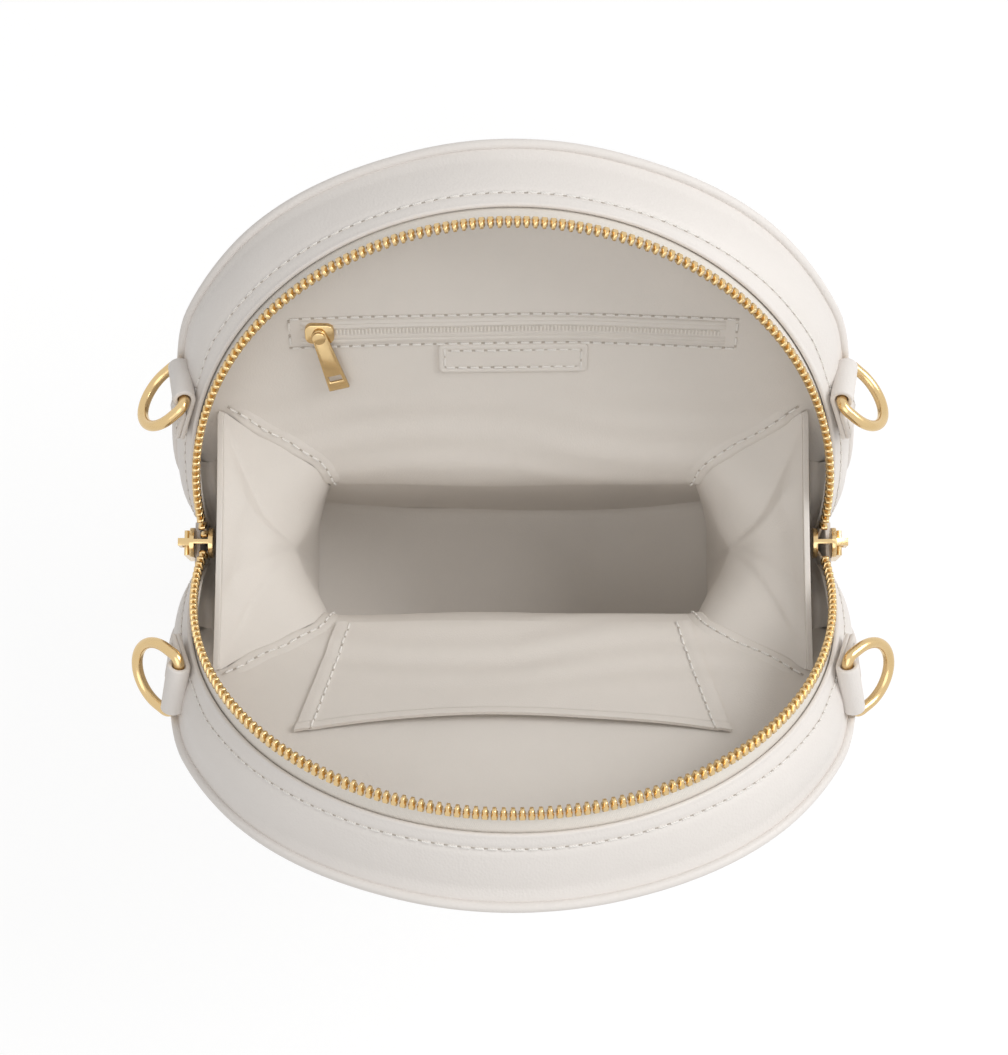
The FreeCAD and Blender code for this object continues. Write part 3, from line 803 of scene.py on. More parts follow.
ZIP_END_INSET = BAND_TAPER - 1.0 * MM
ZIP_END_HALF = 7.6 * MM
ZIP_END_FOOT = SEAM_HEIGHT - 6 * MM
ZIP_END_TOP = 105.5 * MM
ZIP_END_GRID = (14, 9)


def make_tape(side):
    """The woven tape from the teeth out under the band."""
    middle = DISC_RADIUS - TOOTH_RADIUS
    run = over_top(band_run(TAPE_LAP))
    height = outline(run, 0)[1]
    parting = smooth_step((CENTRE_Z - TAPE_PARTING_DROP - height) / TAPE_PARTING_RUN)
    grid = []
    for distance, edge in zip(run, TAPE_EDGE_Y + TAPE_PARTING * parting):
        y = np.concatenate([[edge], np.linspace(TAPE_FLAT_Y, TAPE_OUTER_Y, TAPE_SAMPLES)])
        rise = TAPE_RISE * np.clip((y - TAPE_FLAT_Y) / (TAPE_OUTER_Y - TAPE_FLAT_Y), 0, 1)
        top = joined(middle - rise - TAPE / 2, y)
        grid.append(swept(there_and_back(top, top + [TAPE, 0]), [distance])[0])
    name = side_name(side)
    made = tube(name + "_woven_tape", opened(np.array(grid), side), "tape")
    across_fold(made)
    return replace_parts(made, f"{name}_zip_tape")


def tooth_mesh():
    """One tooth: a block with cut corners, a narrower head and a wide foot."""
    mesh = bpy.data.meshes.new("tooth")
    bm = bmesh.new()
    rings = []
    for share, width, thick in TOOTH_STATIONS:
        w, h = width / 2, TOOTH_THICKNESS / 2 * thick
        rings.append([bm.verts.new((x * w, share * TOOTH_DEPTH, z * h)) for x, z in TOOTH_CORNERS])
    for first, second in zip(rings, rings[1:]):
        for k in range(len(first)):
            after = (k + 1) % len(first)
            bm.faces.new((first[k], first[after], second[after], second[k]))
    bm.faces.new(rings[0][::-1])
    bm.faces.new(rings[-1])
    bmesh.ops.recalc_face_normals(bm, faces=bm.faces)
    bm.to_mesh(mesh)
    bm.free()
    shade_smooth(mesh, TOOTH_SHARP)
    return mesh


def make_teeth(side):
    """A row of teeth round the mouth, the two rows half a pitch apart."""
    step = TOOTH_PITCH / TOOTH_RADIUS
    first = FIRST_TOOTH + (step / 2 if side == FRONT else 0)
    turn = np.arange(first, math.pi - first + TINY, step)

    def at(radius, y):
        return opened(joined(-radius * np.cos(turn), y, CENTRE_Z + radius * np.sin(turn)), side)

    places = at(TOOTH_RADIUS, TOOTH_MIDDLE_Y)
    inward = at(TOOTH_RADIUS, TOOTH_MIDDLE_Y - MM) - places
    out = at(TOOTH_RADIUS + MM, TOOTH_MIDDLE_Y) - places
    forward = np.cross(-inward, out)
    name = side_name(side)
    made = repeated(name + "_gold_teeth", places, forward, out, tooth_mesh(), "gold", "gold_metal")
    across_fold(made)
    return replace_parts(made, f"{name}_zip_teeth")


def make_zip_ends():
    """The leather that closes the gap below each slider, level with the bands' edges."""
    rows, columns = ZIP_END_GRID
    y = np.linspace(-ZIP_END_HALF, ZIP_END_HALF, columns)
    section = there_and_back(joined(ZIP_END_INSET, y), joined(ZIP_END_INSET + LEATHER, y))
    up = np.linspace(distance_at_height(ZIP_END_FOOT), distance_at_height(ZIP_END_TOP), rows)
    for hand in (LEFT, RIGHT):
        made = tube(hand_name(hand) + "_zip_end", swept(section, hand * up), "leather")
        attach(made, "base")


# Linings

LINING = 0.8 * MM
LINING_PUFF = 0.5 * MM
FILLET = 3.2 * MM
FILLET_SAMPLES = 7
LINING_SAMPLES = 44
LINING_BACK_SAMPLES = 12
# The strip along the band, from the zip to the disc: depth, and inset of its inner face
STRIP_Y = np.array([6.6 * MM, 9 * MM, 12 * MM, 14.5 * MM, 18 * MM, LINING_FACE - FILLET])
STRIP_INSET = np.array([8.2, 7.8, 7.2, 5.6, 4.4, 3.9]) * MM + LINING
STRIP_SAMPLES = 22
# Waves of the disc lining: share of the ripple, turns across and up, and start
LINING_WAVES = ((1, 61, 23, 0), (0.6, 37, -71, 1.3), (0.4, 113, 97, 0.4))
# Crumples where the lining is slack above the fold: share of the ripple, middle and reach, and their waves
CRUMPLE_SHARE = 1.1
CRUMPLE_RISE = 14 * MM
CRUMPLE_REACH = 16 * MM
CRUMPLE_TURNS, CRUMPLE_SLANT = 520, 60
CRUMPLE_BEND, CRUMPLE_BEND_TURNS = 2.2, 41
RIM_FADE = 5

FLOOR_INSET = 9.3 * MM
FLOOR_CURL = 4 * MM
FLOOR_CURL_MOST = 0.995
FLOOR_ACROSS_SAMPLES = 41
FLOOR_ALONG_SAMPLES = 161


def lining_depth(x, z):
    """Closed depth of the disc lining's soft face at a place on it."""
    rise = z - FOLD_Z
    wave = sum(share * np.sin(x * across + z * up + start) for share, across, up, start in LINING_WAVES)
    slack = np.exp(-((rise - CRUMPLE_RISE) / CRUMPLE_REACH) ** 2)
    bend = CRUMPLE_BEND * np.sin(x * CRUMPLE_BEND_TURNS)
    crumple = np.sin(rise * CRUMPLE_TURNS + bend + np.abs(x) * CRUMPLE_SLANT) * slack
    edge = smooth_step((1 - np.hypot(x, z - CENTRE_Z) / DISC_RADIUS) * RIM_FADE)
    return LINING_FACE - edge * (LINING_PUFF + sizes().lining_ripple * (wave + CRUMPLE_SHARE * crumple))


def on_lining(x, rise, lift, side):
    """Open points on a lining's face, by height above the fold and lift off the face."""
    x, rise, lift = np.broadcast_arrays(np.asarray(x, float), rise, lift)
    z = FOLD_Z + rise
    return opened(joined(x, lining_depth(x, z) - lift, z), side)


def make_lining(side):
    """Disc lining and the strip up the inside of the band, one soft skin."""
    y = np.linspace(STRIP_Y[-1], STRIP_Y[0], STRIP_SAMPLES)
    strip = joined(np.interp(y, STRIP_Y, STRIP_INSET), y)
    rim = strip[0, 0] + FILLET
    turn = np.linspace(0, math.pi / 2, FILLET_SAMPLES)[1:-1]
    fillet = strip[0] + FILLET * joined(1 - np.sin(turn), np.cos(turn))
    face = disc_grid(rim, lambda share: LINING_FACE, LINING_SAMPLES)
    face[..., 1] = lining_depth(face[..., 0], face[..., 2])
    rounded = swept(np.concatenate([fillet, strip]), full_loop())
    behind = np.concatenate([[[rim, LINING_FACE + LINING]], strip - [LINING, 0]])
    back_rim = swept(behind[::-1], full_loop())
    back_face = disc_grid(rim, lambda share: LINING_FACE + LINING, LINING_BACK_SAMPLES)[:, ::-1]
    grid = np.concatenate([face, rounded, back_rim, back_face[:, 1:]], axis=1)
    faces = grid_faces(*grid.shape[:2], wrap_rows=True)
    name = side_name(side)
    made = piece(name + "_soft_lining", opened(grid, side), faces, "lining")
    across_fold(made)
    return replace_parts(made, f"{name}_lining", f"lower_{name}_lining")


def make_floor():
    """The floor lining, rounded up at both walls."""
    half = LINING_FACE - SEAM_GAP
    y = np.linspace(-half, half, FLOOR_ACROSS_SAMPLES)
    wall = np.clip((np.abs(y) - (LINING_FACE - FLOOR_CURL)) / FLOOR_CURL, 0, 1)
    curl = FLOOR_CURL * (1 - np.sqrt(1 - np.minimum(wall, FLOOR_CURL_MOST) ** 2))
    top = joined(FLOOR_INSET + LINING + curl, y)
    section = there_and_back(top, top - [LINING, 0])
    along = np.linspace(-SEAM_DISTANCE, SEAM_DISTANCE, FLOOR_ALONG_SAMPLES)
    made = tube("base_floor_lining", swept(section, along), "lining")
    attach(made, "base")
    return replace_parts(made, "floor_lining", "base_board")


# Gussets and their seams

# Where a gusset's edge runs on the linings, from its foot to its top: across and above the fold
GUSSET_EDGE = np.array([
    (71, -58), (67, -42), (63.5, -24), (62, -8), (64.5, 2), (72, 8.5), (82, 15), (93, 23.5)]) * MM
GUSSET_SEAM_START = 3
GUSSET = 1.0 * MM
GUSSET_GRID = (64, 65)
GUSSET_LIFT = 0.2 * MM
GUSSET_TOP_X = 93.5 * MM
# The point that a gusset folds in to, and the lean of the part below it
GUSSET_POINT_X = 73 * MM
GUSSET_POINT_SHARE = 0.42
GUSSET_LEAN = 3 * MM
GUSSET_SAG = 2.0 * MM
GUSSET_WAVE = 0.55 * MM
GUSSET_WAVES_ACROSS, GUSSET_WAVES_UP = 5, 9
GUSSET_SOFTENING = 2
# Creases between a gusset's two main folds: place and width as shares of the way to them, and depth
GUSSET_CREASES = ((0.52, 0.4, 3.0 * MM), (-0.45, 0.36, -2.4 * MM), (-0.86, 0.3, 1.6 * MM))
CREASE_NARROWEST, CREASE_WIDEST = 0.02, 0.97
CREASE_FADE = 8

SIDE_FOLD_GRID = (15, 41)
SIDE_FOLD_START = 1.6 * MM
SIDE_FOLD_RUN = 5.5 * MM
SIDE_FOLD_HALF = 28.5 * MM
SIDE_FOLD_TAPER = 2 * MM
SIDE_FOLD_Z = 101 * MM
SIDE_FOLD_RISE = 5 * MM
SIDE_FOLD_SINK = 2.5 * MM
SIDE_FOLD_LIFT = 9 * MM
SIDE_FOLD_PLEAT = 0.9 * MM
SIDE_FOLD_PLEATS_ACROSS, SIDE_FOLD_PLEATS_OUT = 7, 3
# Shares of the side fold: its run at the middle, the rest by its ends, and where it widens, climbs and lifts
SIDE_FOLD_NARROW, SIDE_FOLD_WIDER = 0.75, 0.7
SIDE_FOLD_WIDER_START, SIDE_FOLD_WIDER_RUN = 0.12, 0.35
SIDE_FOLD_EDGE = 0.4
SIDE_FOLD_LIFT_START, SIDE_FOLD_LIFT_RUN = 0.2, 0.5

BINDING_RADIUS = 1.25 * MM
BINDING_SIDES = 16
BINDING_TALL = 1.7
BINDING_PINCH = 0.28

# The turned edge along a gusset: distance from the gusset and lift off the lining, in mm
HEM_PROFILE = (
    (-0.4, -0.4), (-0.4, 0.45), (0.0, 0.8), (0.9, 0.85), (2.2, 0.6),
    (2.7, 0.45), (3.3, 0.5), (4.4, 0.25), (5.2, 0), (5.2, -0.4))
HEM_SAMPLES = 48
HEM_SUNK = 0.4
HEM_START_RUN, HEM_END_RUN = 0.08, 0.12
HEM_STITCH_AWAY = 2.7 * MM
HEM_STITCH_LIFT = 0.45 * MM


def smooth_path(points, t):
    """Points on a smooth line through given points, t from 0 to 1 along them."""
    ends = np.concatenate([[2 * points[0] - points[1]], points, [2 * points[-1] - points[-2]]])
    place = np.clip(t, 0, 1) * (len(points) - 1)
    k = np.minimum(place.astype(int), len(points) - 2)
    f = (place - k)[:, None]
    a, b, c, d = (ends[k + step] for step in range(4))
    bent = (2 * a - 5 * b + 4 * c - d) * f ** 2 + (3 * b - a - 3 * c + d) * f ** 3
    return 0.5 * (2 * b + (c - a) * f + bent)


def grid_area(grid):
    """Area of a grid of points, as its two triangles in each square."""
    a, b, c, d = grid[:-1, :-1], grid[:-1, 1:], grid[1:, 1:], grid[1:, :-1]
    halves = (np.cross(b - a, c - a), np.cross(c - a, d - a))
    return sum(np.linalg.norm(half, axis=-1).sum() for half in halves) / 2


def declare_sheet(grid):
    """Works out a sheet's area and the area of its longest grid lines, and keeps neither."""
    width = np.linalg.norm(np.diff(grid, axis=1), axis=-1).sum(axis=1).max()
    length = np.linalg.norm(np.diff(grid, axis=0), axis=-1).sum(axis=0).max()
    min(grid_area(grid), width * length)


def folding(made):
    """Rides a piece on the base, with a mesh of its own."""
    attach(made, "base")
    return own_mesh(made)


def folding_sheet(name, hand, grid, behind):
    """A sheet of lining at one side of the bag, drawn on the right."""
    points, faces = doubled(grid, grid + behind)
    points[:, 0] *= hand
    return folding(piece(f"{hand_name(hand)}_{name}", points, faces, "lining"))


def make_gusset(hand):
    """A soft gusset folded in to one point, with creases from its top corners."""
    rows, columns = GUSSET_GRID
    height = np.linspace(0, 1, rows)
    edge = smooth_path(GUSSET_EDGE, height)
    back = on_lining(edge[:, 0], edge[:, 1], GUSSET_LIFT, BACK)[:, None]
    height, across = height[:, None], np.linspace(-1, 1, columns)
    above = (height - GUSSET_POINT_SHARE) / (1 - GUSSET_POINT_SHARE)
    crease = np.clip(above, CREASE_NARROWEST, CREASE_WIDEST)
    flat = np.clip(above, -1, 1)
    middle = GUSSET_POINT_X + np.where(flat > 0, GUSSET_TOP_X - GUSSET_POINT_X, GUSSET_LEAN) * flat
    towards = np.clip((np.abs(across) - crease) / (1 - crease), 0, 1)
    wave = np.sin(across * GUSSET_WAVES_ACROSS + height * GUSSET_WAVES_UP)
    wave = wave * np.sin(height * math.pi) * (1 - across ** 4)
    grid = joined(
        middle + (back[..., 0] - middle) * towards + GUSSET_WAVE * wave, back[..., 1] * across,
        back[..., 2] - GUSSET_SAG * height * (1 - across ** 2))
    for _ in range(GUSSET_SOFTENING):
        inner = (grid[2:, 1:-1] + grid[:-2, 1:-1] + grid[1:-1, 2:] + grid[1:-1, :-2]) / 4
        grid[1:-1, 1:-1] = (grid[1:-1, 1:-1] + inner) / 2
    inside = np.clip((1 - np.abs(across)) * CREASE_FADE, 0, 1) * np.clip((1 - height) * CREASE_FADE, 0, 1)
    for line, width, depth in GUSSET_CREASES:
        ridge = np.clip(1 - np.abs(across / crease - line) / width, 0, 1)
        grid[..., 0] -= depth * crease * ridge * inside
    made = folding_sheet("soft_gusset", hand, grid, [GUSSET, 0, 0])
    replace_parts(made, hand_name(hand) + "_gusset")
    declare_sheet(grid)
    make_binding(hand, (grid[-1] + [GUSSET / 2, 0, 0]) * [hand, 1, 1])


def make_side_fold(hand):
    """The slack lining that closes the gap between a gusset and the zip's end."""
    rows, columns = SIDE_FOLD_GRID
    out, across = np.linspace(0, 1, rows)[:, None], np.linspace(-1, 1, columns)
    from_middle = np.abs(across)
    wider = smooth_step((from_middle - SIDE_FOLD_WIDER_START) / SIDE_FOLD_WIDER_RUN)
    reach = SIDE_FOLD_RUN * (SIDE_FOLD_NARROW + SIDE_FOLD_WIDER * wider)
    pleat = np.sin(across * SIDE_FOLD_PLEATS_ACROSS + out * SIDE_FOLD_PLEATS_OUT) * np.sin(out * math.pi)
    inner, outer = (SIDE_FOLD_EDGE - out) / SIDE_FOLD_EDGE, (out - (1 - SIDE_FOLD_EDGE)) / SIDE_FOLD_EDGE
    climb = SIDE_FOLD_RISE * (smooth_step(outer) + smooth_step(inner))
    trough = SIDE_FOLD_Z - SIDE_FOLD_SINK * np.sin(out * math.pi) + climb
    lift = SIDE_FOLD_LIFT * smooth_step((from_middle - SIDE_FOLD_LIFT_START) / SIDE_FOLD_LIFT_RUN)
    grid = joined(
        GUSSET_TOP_X + SIDE_FOLD_START + out * reach, (SIDE_FOLD_HALF - SIDE_FOLD_TAPER * out) * across,
        trough + SIDE_FOLD_PLEAT * pleat + lift)
    made = folding_sheet("side_fold", hand, grid, [0, 0, -GUSSET])
    declare_sheet(grid)


def make_binding(hand, line):
    """The rolled edge along a gusset's top: a fine cord and a flat fold below it."""
    tangent = unit(np.gradient(line, axis=0))
    side = unit(np.cross(tangent, [0, 0, 1.0]))
    up = np.cross(side, tangent)
    turn = np.linspace(0, 2 * math.pi, BINDING_SIDES, endpoint=False)[:, None]
    ring = np.cos(turn) * side[:, None] + BINDING_TALL * np.sin(turn) * up[:, None]
    swell = 1 - BINDING_PINCH * np.cos(2 * turn) ** 2
    grid = line[:, None] + BINDING_RADIUS * swell * ring
    return folding(tube(hand_name(hand) + "_gusset_binding", grid, "lining"))


def seam_line(t, hand, away):
    """Across and rise of the gusset's seam on a lining, moved away from the gusset over the panel."""
    line = smooth_path(GUSSET_EDGE[GUSSET_SEAM_START:], t)
    ahead = unit(np.gradient(line, axis=0))
    moved = line + joined(-ahead[:, 1], ahead[:, 0]) * away
    return moved[:, 0] * hand, moved[:, 1]


def make_gusset_hem(side, hand):
    """The lining's turned edge over the gusset and its row of stitches."""
    t = np.linspace(0, 1, HEM_SAMPLES)
    full = smooth_step(t / HEM_START_RUN) * smooth_step((1 - t) / HEM_END_RUN)
    grid = []
    for away, lift in HEM_PROFILE:
        x, rise = seam_line(t, hand, away * MM)
        grid.append(on_lining(x, rise, (lift + HEM_SUNK) * full * MM - HEM_SUNK * MM, side))
    name = f"{side_name(side)}_{hand_name(hand)}_gusset_hem"
    made = tube(name, np.stack(grid, axis=1), "lining")
    across_fold(made)

    def path(t, lift):
        x, rise = seam_line(t, hand, HEM_STITCH_AWAY)
        return on_lining(x, rise, HEM_STITCH_LIFT + lift, side)

    for row in stitched(name + "_stitches", [path]):
        across_fold(row)


# Pockets and patch, by their height above the fold

POCKET_RISE = 55.0 * MM
POCKET_SAG = 1.8 * MM
POCKET_HALF = 66 * MM
POCKET_SAMPLES = 120
POCKET_STITCH_HALF = 69.5 * MM
POCKET_STITCH_RISE = 5.2 * MM
POCKET_STITCH_LIFT = 0.12 * MM
# One lip of the pocket's zip from its outer edge inwards: distance from the middle and lift, in mm
LIP_PROFILE = (
    (4.3, -0.3), (4.2, 0.25), (3.7, 0.62), (3.0, 0.66), (2.65, 0.28),
    (2.3, 0.56), (1.6, 0.58), (1.3, 0.1), (1.0, 0.05))
LIP_END_RUN = 0.8 * MM
LIP_END_SHARE = 0.25
COIL_TURN = (0.75 * MM, 1.9 * MM, 0.6 * MM)
COIL_BEVEL = 0.28 * MM
COIL_PITCH = 1.15 * MM
COIL_HALF = POCKET_HALF - 1.5 * MM
COIL_LIFT = 0.28 * MM

PATCH_RISE = 44.3 * MM
PATCH_LENGTH = 47 * MM
PATCH_HEIGHT = 10.5 * MM
PATCH_CORNER = 1.8 * MM
PATCH_CORNER_SAMPLES = 10
# Levels of the patch from its edge to its face: inset and lift, in mm
PATCH_LEVELS = (
    (0, -0.4), (0, 0.75), (0.35, 1.1), (1.2, 1.15), (1.7, 0.9), (2.1, 0.72), (2.5, 0.85), (3.4, 0.9))
PATCH_STITCH_INSET = 2.1 * MM
PATCH_STITCH_LIFT = 0.72 * MM
SHARPEST_CORNER = 0.2 * MM

SLIP_MOUTH_HALF = 66.5 * MM
SLIP_MOUTH_RISE = 46 * MM
SLIP_MOUTH_LIFT = 5.5 * MM
SLIP_FOOT_HALF = 57.5 * MM
SLIP_FOOT_RISE = 3 * MM
SLIP_LIFT = 0.75 * MM
SLIP_THICKNESS = 1.1 * MM
SLIP_SUNK = -0.3 * MM
SLIP_HEM, SLIP_HEM_START, SLIP_HEM_RUN = 0.55 * MM, 0.925, 0.02
SLIP_SEAM, SLIP_SEAM_START, SLIP_SEAM_RUN = 0.5 * MM, 0.93, 0.015
SLIP_STITCH_SHARE = 0.925
SLIP_COLUMNS = 81
# Rows of the slip pocket below its hem and in it: first and last share of its height, and how many
SLIP_ROWS = ((0, 0.9, 24), (0.91, 1, 10))


def pocket_middle(x):
    return POCKET_RISE - POCKET_SAG * (x / POCKET_HALF) ** 2


def ride_back(made, *nodes):
    """Rides a piece on the back half, in place of nodes of the frame."""
    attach(made, "back_half")
    if nodes:
        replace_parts(made, *nodes)


def make_pocket_zip():
    """The zip pocket's two lips with the closed coil between them, and the stitches round them."""
    other_lip = [(-away, lift) for away, lift in reversed(LIP_PROFILE)]
    x = np.linspace(-POCKET_HALF, POCKET_HALF, POCKET_SAMPLES)
    end = np.clip((POCKET_HALF - np.abs(x)) / LIP_END_RUN, LIP_END_SHARE, 1)
    grid = [on_lining(x, pocket_middle(x) + away, np.minimum(lift, lift * end), BACK)
            for away, lift in np.array([*LIP_PROFILE, *other_lip]) * MM]
    lips = tube("pocket_zip_lips", np.stack(grid, axis=1), "lining")
    ride_back(lips, "pocket_zip_tape", "pocket_pouch")

    def coil_path(t, lift):
        x = (2 * t - 1) * COIL_HALF
        return on_lining(x, pocket_middle(x), COIL_LIFT + lift, BACK)

    turn = small_block("coil turn", COIL_TURN, COIL_BEVEL)
    coil = repeated("pocket_coil", *spaced(coil_path, COIL_PITCH), turn, "tape", "zip_tape")
    ride_back(coil, "pocket_zip_coil")

    def straight(start, end):
        def path(t, lift):
            x = POCKET_STITCH_HALF * (start[0] + (end[0] - start[0]) * t)
            rise = POCKET_STITCH_RISE * (start[1] + (end[1] - start[1]) * t)
            return on_lining(x, pocket_middle(x) + rise, POCKET_STITCH_LIFT + lift, BACK)
        return path

    corners = [(-1, 1), (1, 1), (1, -1), (-1, -1)]
    rows = [straight(start, end) for start, end in zip(corners, corners[1:] + corners[:1])]
    for row in stitched("pocket_zip_stitches", rows):
        ride_back(row)


def rounded_outline(length, height, radius, inset, count):
    """Points round a rectangle with rounded corners, set in by a distance."""
    half_l, half_h, r = length / 2 - inset, height / 2 - inset, max(radius - inset, SHARPEST_CORNER)
    turn = np.linspace(0, math.pi / 2, count)
    points = []
    for k, (sx, sy) in enumerate(((1, 1), (-1, 1), (-1, -1), (1, -1))):
        a = turn + k * math.pi / 2
        points.append(joined(sx * (half_l - r) + r * np.cos(a), sy * (half_h - r) + r * np.sin(a)))
    return np.concatenate(points)


def patch_loop(inset):
    return rounded_outline(PATCH_LENGTH, PATCH_HEIGHT, PATCH_CORNER, inset, PATCH_CORNER_SAMPLES)


def make_patch():
    """The small stitched patch below the pocket: a raised rim and a plain face."""
    rows = []
    for inset, lift in PATCH_LEVELS:
        loop = patch_loop(inset * MM)
        rows.append(on_lining(loop[:, 0], PATCH_RISE + loop[:, 1], lift * MM, BACK))
    made = tube("stitched_patch", np.array(rows), "lining")
    ride_back(made, "label_patch")
    loop = patch_loop(PATCH_STITCH_INSET)
    loop = np.concatenate([loop, loop[:1]])

    def path(t, lift):
        k, steps = t * (len(loop) - 1), np.arange(len(loop))
        x, rise = np.interp(k, steps, loop[:, 0]), np.interp(k, steps, loop[:, 1])
        return on_lining(x, PATCH_RISE + rise, PATCH_STITCH_LIFT + lift, BACK)

    for row in stitched("patch_stitches", [path]):
        ride_back(row)


def slip_place(across, up):
    """Across and rise on the slip pocket's face, from shares across and up it."""
    half = SLIP_FOOT_HALF + (SLIP_MOUTH_HALF - SLIP_FOOT_HALF) * up
    mouth = SLIP_MOUTH_RISE + SLIP_MOUTH_LIFT * across ** 2
    return half * across, SLIP_FOOT_RISE + (mouth - SLIP_FOOT_RISE) * up


def slip_lift(across, up):
    """The slip pocket's lift off the lining: flat at its seams, gaping at its mouth, with a turned hem."""
    gape = sizes().pocket_gape * (1 - across ** 2) * up ** 2
    hem = SLIP_HEM * smooth_step((up - SLIP_HEM_START) / SLIP_HEM_RUN)
    seam = SLIP_SEAM * smooth_step((np.abs(across) - SLIP_SEAM_START) / SLIP_SEAM_RUN)
    return SLIP_LIFT + gape + hem + seam


def make_slip_pocket():
    """A patch pocket on the front lining, open towards the mouth."""
    across = np.linspace(-1, 1, SLIP_COLUMNS)[None, :]
    up = np.concatenate([np.linspace(*rows) for rows in SLIP_ROWS])[:, None]
    x, rise = slip_place(across, up)
    lift = slip_lift(across, up)
    grid = on_lining(x, rise, lift, FRONT)
    points, faces = doubled(grid, on_lining(x, rise, np.maximum(lift - SLIP_THICKNESS, SLIP_SUNK), FRONT))
    made = piece("front_slip_pocket", points, faces, "lining")
    across_fold(made)
    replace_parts(made, "slip_pocket")
    declare_sheet(grid)

    def seam(hand):
        def path(t, lift):
            across = hand * SLIP_STITCH_SHARE
            return on_lining(*slip_place(across, t), slip_lift(across, t) + lift, FRONT)
        return path

    for row in stitched("slip_pocket_stitches", [seam(LEFT), seam(RIGHT)]):
        across_fold(row)


# Strap tabs

TAB_ANGLE = math.radians(20)
TAB_WIDTH = 17.5 * MM
TAB_LEATHER = 1.5 * MM
TAB_THICKNESS = TAB_LEATHER * 0.98
TAB_CORNER = 0.5 * MM
TAB_TAIL = 15 * MM
TAB_INNER_END = 1.0 * MM
TAB_JOIN = 6.2 * MM
TAB_STITCH_INSET = 1.8 * MM
TAB_STITCH_START = 7 * MM
TAB_STITCH_RUN = TAB_TAIL - 8.5 * MM
LOOP_RADIUS = 3.55 * MM
TAB_TAIL_SAMPLES, TAB_LOOP_SAMPLES, TAB_JOIN_SAMPLES, TAB_CORNER_SAMPLES = 14, 26, 12, 4


def tab_line(low, top):
    """Middle line of a tab's leather: up its inner tail, round the bar and down over the inner tail."""
    bend = LOOP_RADIUS - TAB_LEATHER / 2
    turn = np.linspace(-math.pi / 2, -math.pi * 1.5, TAB_LOOP_SAMPLES)
    ease = smooth_step(np.linspace(0, 1, TAB_JOIN_SAMPLES))[1:-1]
    return np.concatenate([
        joined(np.linspace(TAB_TAIL, TAB_INNER_END, TAB_TAIL_SAMPLES), low),
        joined(bend * np.cos(turn), bend * np.sin(turn)),
        joined(np.linspace(0, TAB_JOIN, TAB_JOIN_SAMPLES)[1:-1], bend + (top - bend) * ease),
        joined(np.linspace(TAB_JOIN, TAB_TAIL, TAB_JOIN_SAMPLES), top)])


def make_tab(side, hand):
    """A strip folded round the ring's bar, its doubled tail sewn down the band."""
    name = f"{side_name(side)}_{hand_name(hand)}"
    joint = JOINTS[name + "_ring_swing"]
    pivot, bar = Vector(joint["pos_m"]), Vector(joint["axis"]).normalized()
    lean = math.cos(OPEN_ANGLE) * math.cos(TAB_ANGLE)
    down = Vector((hand * math.sin(TAB_ANGLE), -side * lean, -lean))
    down = (down - bar * down.dot(bar)).normalized()
    out = bar.cross(down)
    if out.x * hand < 0:
        out, bar = -out, -bar
    tab_axes = np.array([down, out, bar])
    low = TAB_LEATHER / 2 - LOOP_RADIUS
    top = low + TAB_LEATHER
    line = tab_line(low, top)
    along = unit(np.gradient(line, axis=0))
    loop = rounded_outline(TAB_WIDTH, TAB_THICKNESS, TAB_CORNER, 0, TAB_CORNER_SAMPLES)
    flat = line[:, None] + joined(-along[:, 1], along[:, 0])[:, None] * loop[None, :, 1:]
    grid = np.array(pivot) + joined(flat[..., 0], flat[..., 1], loop[None, :, 0]) @ tab_axes
    made = tube(name + "_leather_tab", grid, "leather")
    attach(made, half_body(side))
    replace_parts(made, name + "_tab")

    def row(edge):
        def path(t, lift):
            local = joined(TAB_STITCH_START + t * TAB_STITCH_RUN, top + TAB_LEATHER / 2 + lift, edge)
            return np.array(pivot) + local @ tab_axes
        return path

    edge = TAB_WIDTH / 2 - TAB_STITCH_INSET
    for stitches in stitched(name + "_tab_stitches", [row(-edge), row(edge)]):
        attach(stitches, half_body(side))


# Metal fittings

FINE_BEVEL, WIDE_BEVEL = 0.3 * MM, 0.5 * MM
FLAT_ANGLE = math.radians(1)
BEVEL_ANGLE = math.radians(40)
METAL_SHARP = math.radians(35)
FINISH_OF_SLOT = {"gold_metal": "gold", "lining": "lining", "zip_tape": "tape", "leather": "leather"}


def finish_nodes():
    """Gives the frame's own nodes their finishes."""
    for entry in frame["record"]["subparts"]:
        materials = frame["nodes"][entry["node"]].data.materials
        materials.clear()
        materials.append(finishes()[FINISH_OF_SLOT.get(entry["material_slot"], "lining")])


def rounded_copy(node, name, body, bevel=FINE_BEVEL):
    """A copy of a metal node with its sharp edges rounded."""
    source = frame["nodes"][node]
    mesh = source.data.copy()
    mesh.transform(source.matrix_world)
    bm = bmesh.new()
    bm.from_mesh(mesh)
    bmesh.ops.remove_doubles(bm, verts=bm.verts, dist=TINY)
    bmesh.ops.dissolve_limit(bm, angle_limit=FLAT_ANGLE, verts=bm.verts, edges=bm.edges)
    sharp = [edge for edge in bm.edges if edge.is_manifold and edge.calc_face_angle(0) > BEVEL_ANGLE]
    bmesh.ops.bevel(bm, geom=sharp, offset=bevel, segments=2, affect="EDGES", profile=0.5, clamp_overlap=True)
    bm.to_mesh(mesh)
    bm.free()
    shade_smooth(mesh, METAL_SHARP)
    mesh.materials.clear()
    mesh.materials.append(finishes()["gold"])
    made = placed(name, mesh)
    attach(made, body)
    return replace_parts(made, node)


# Stage

FLOOR_HALF = 6.0
FLOOR_COLOUR = (0.92, 0.92, 0.92, 1)
# The glow that the camera sees makes up the floor's white together with the share of the floor's own light
FLOOR_GLOW = 1.055
FLOOR_GLOW_SHARE = 0.8
WORLD_COLOUR = (1, 0.99, 0.975, 1)
WORLD_LIGHT = 0.52
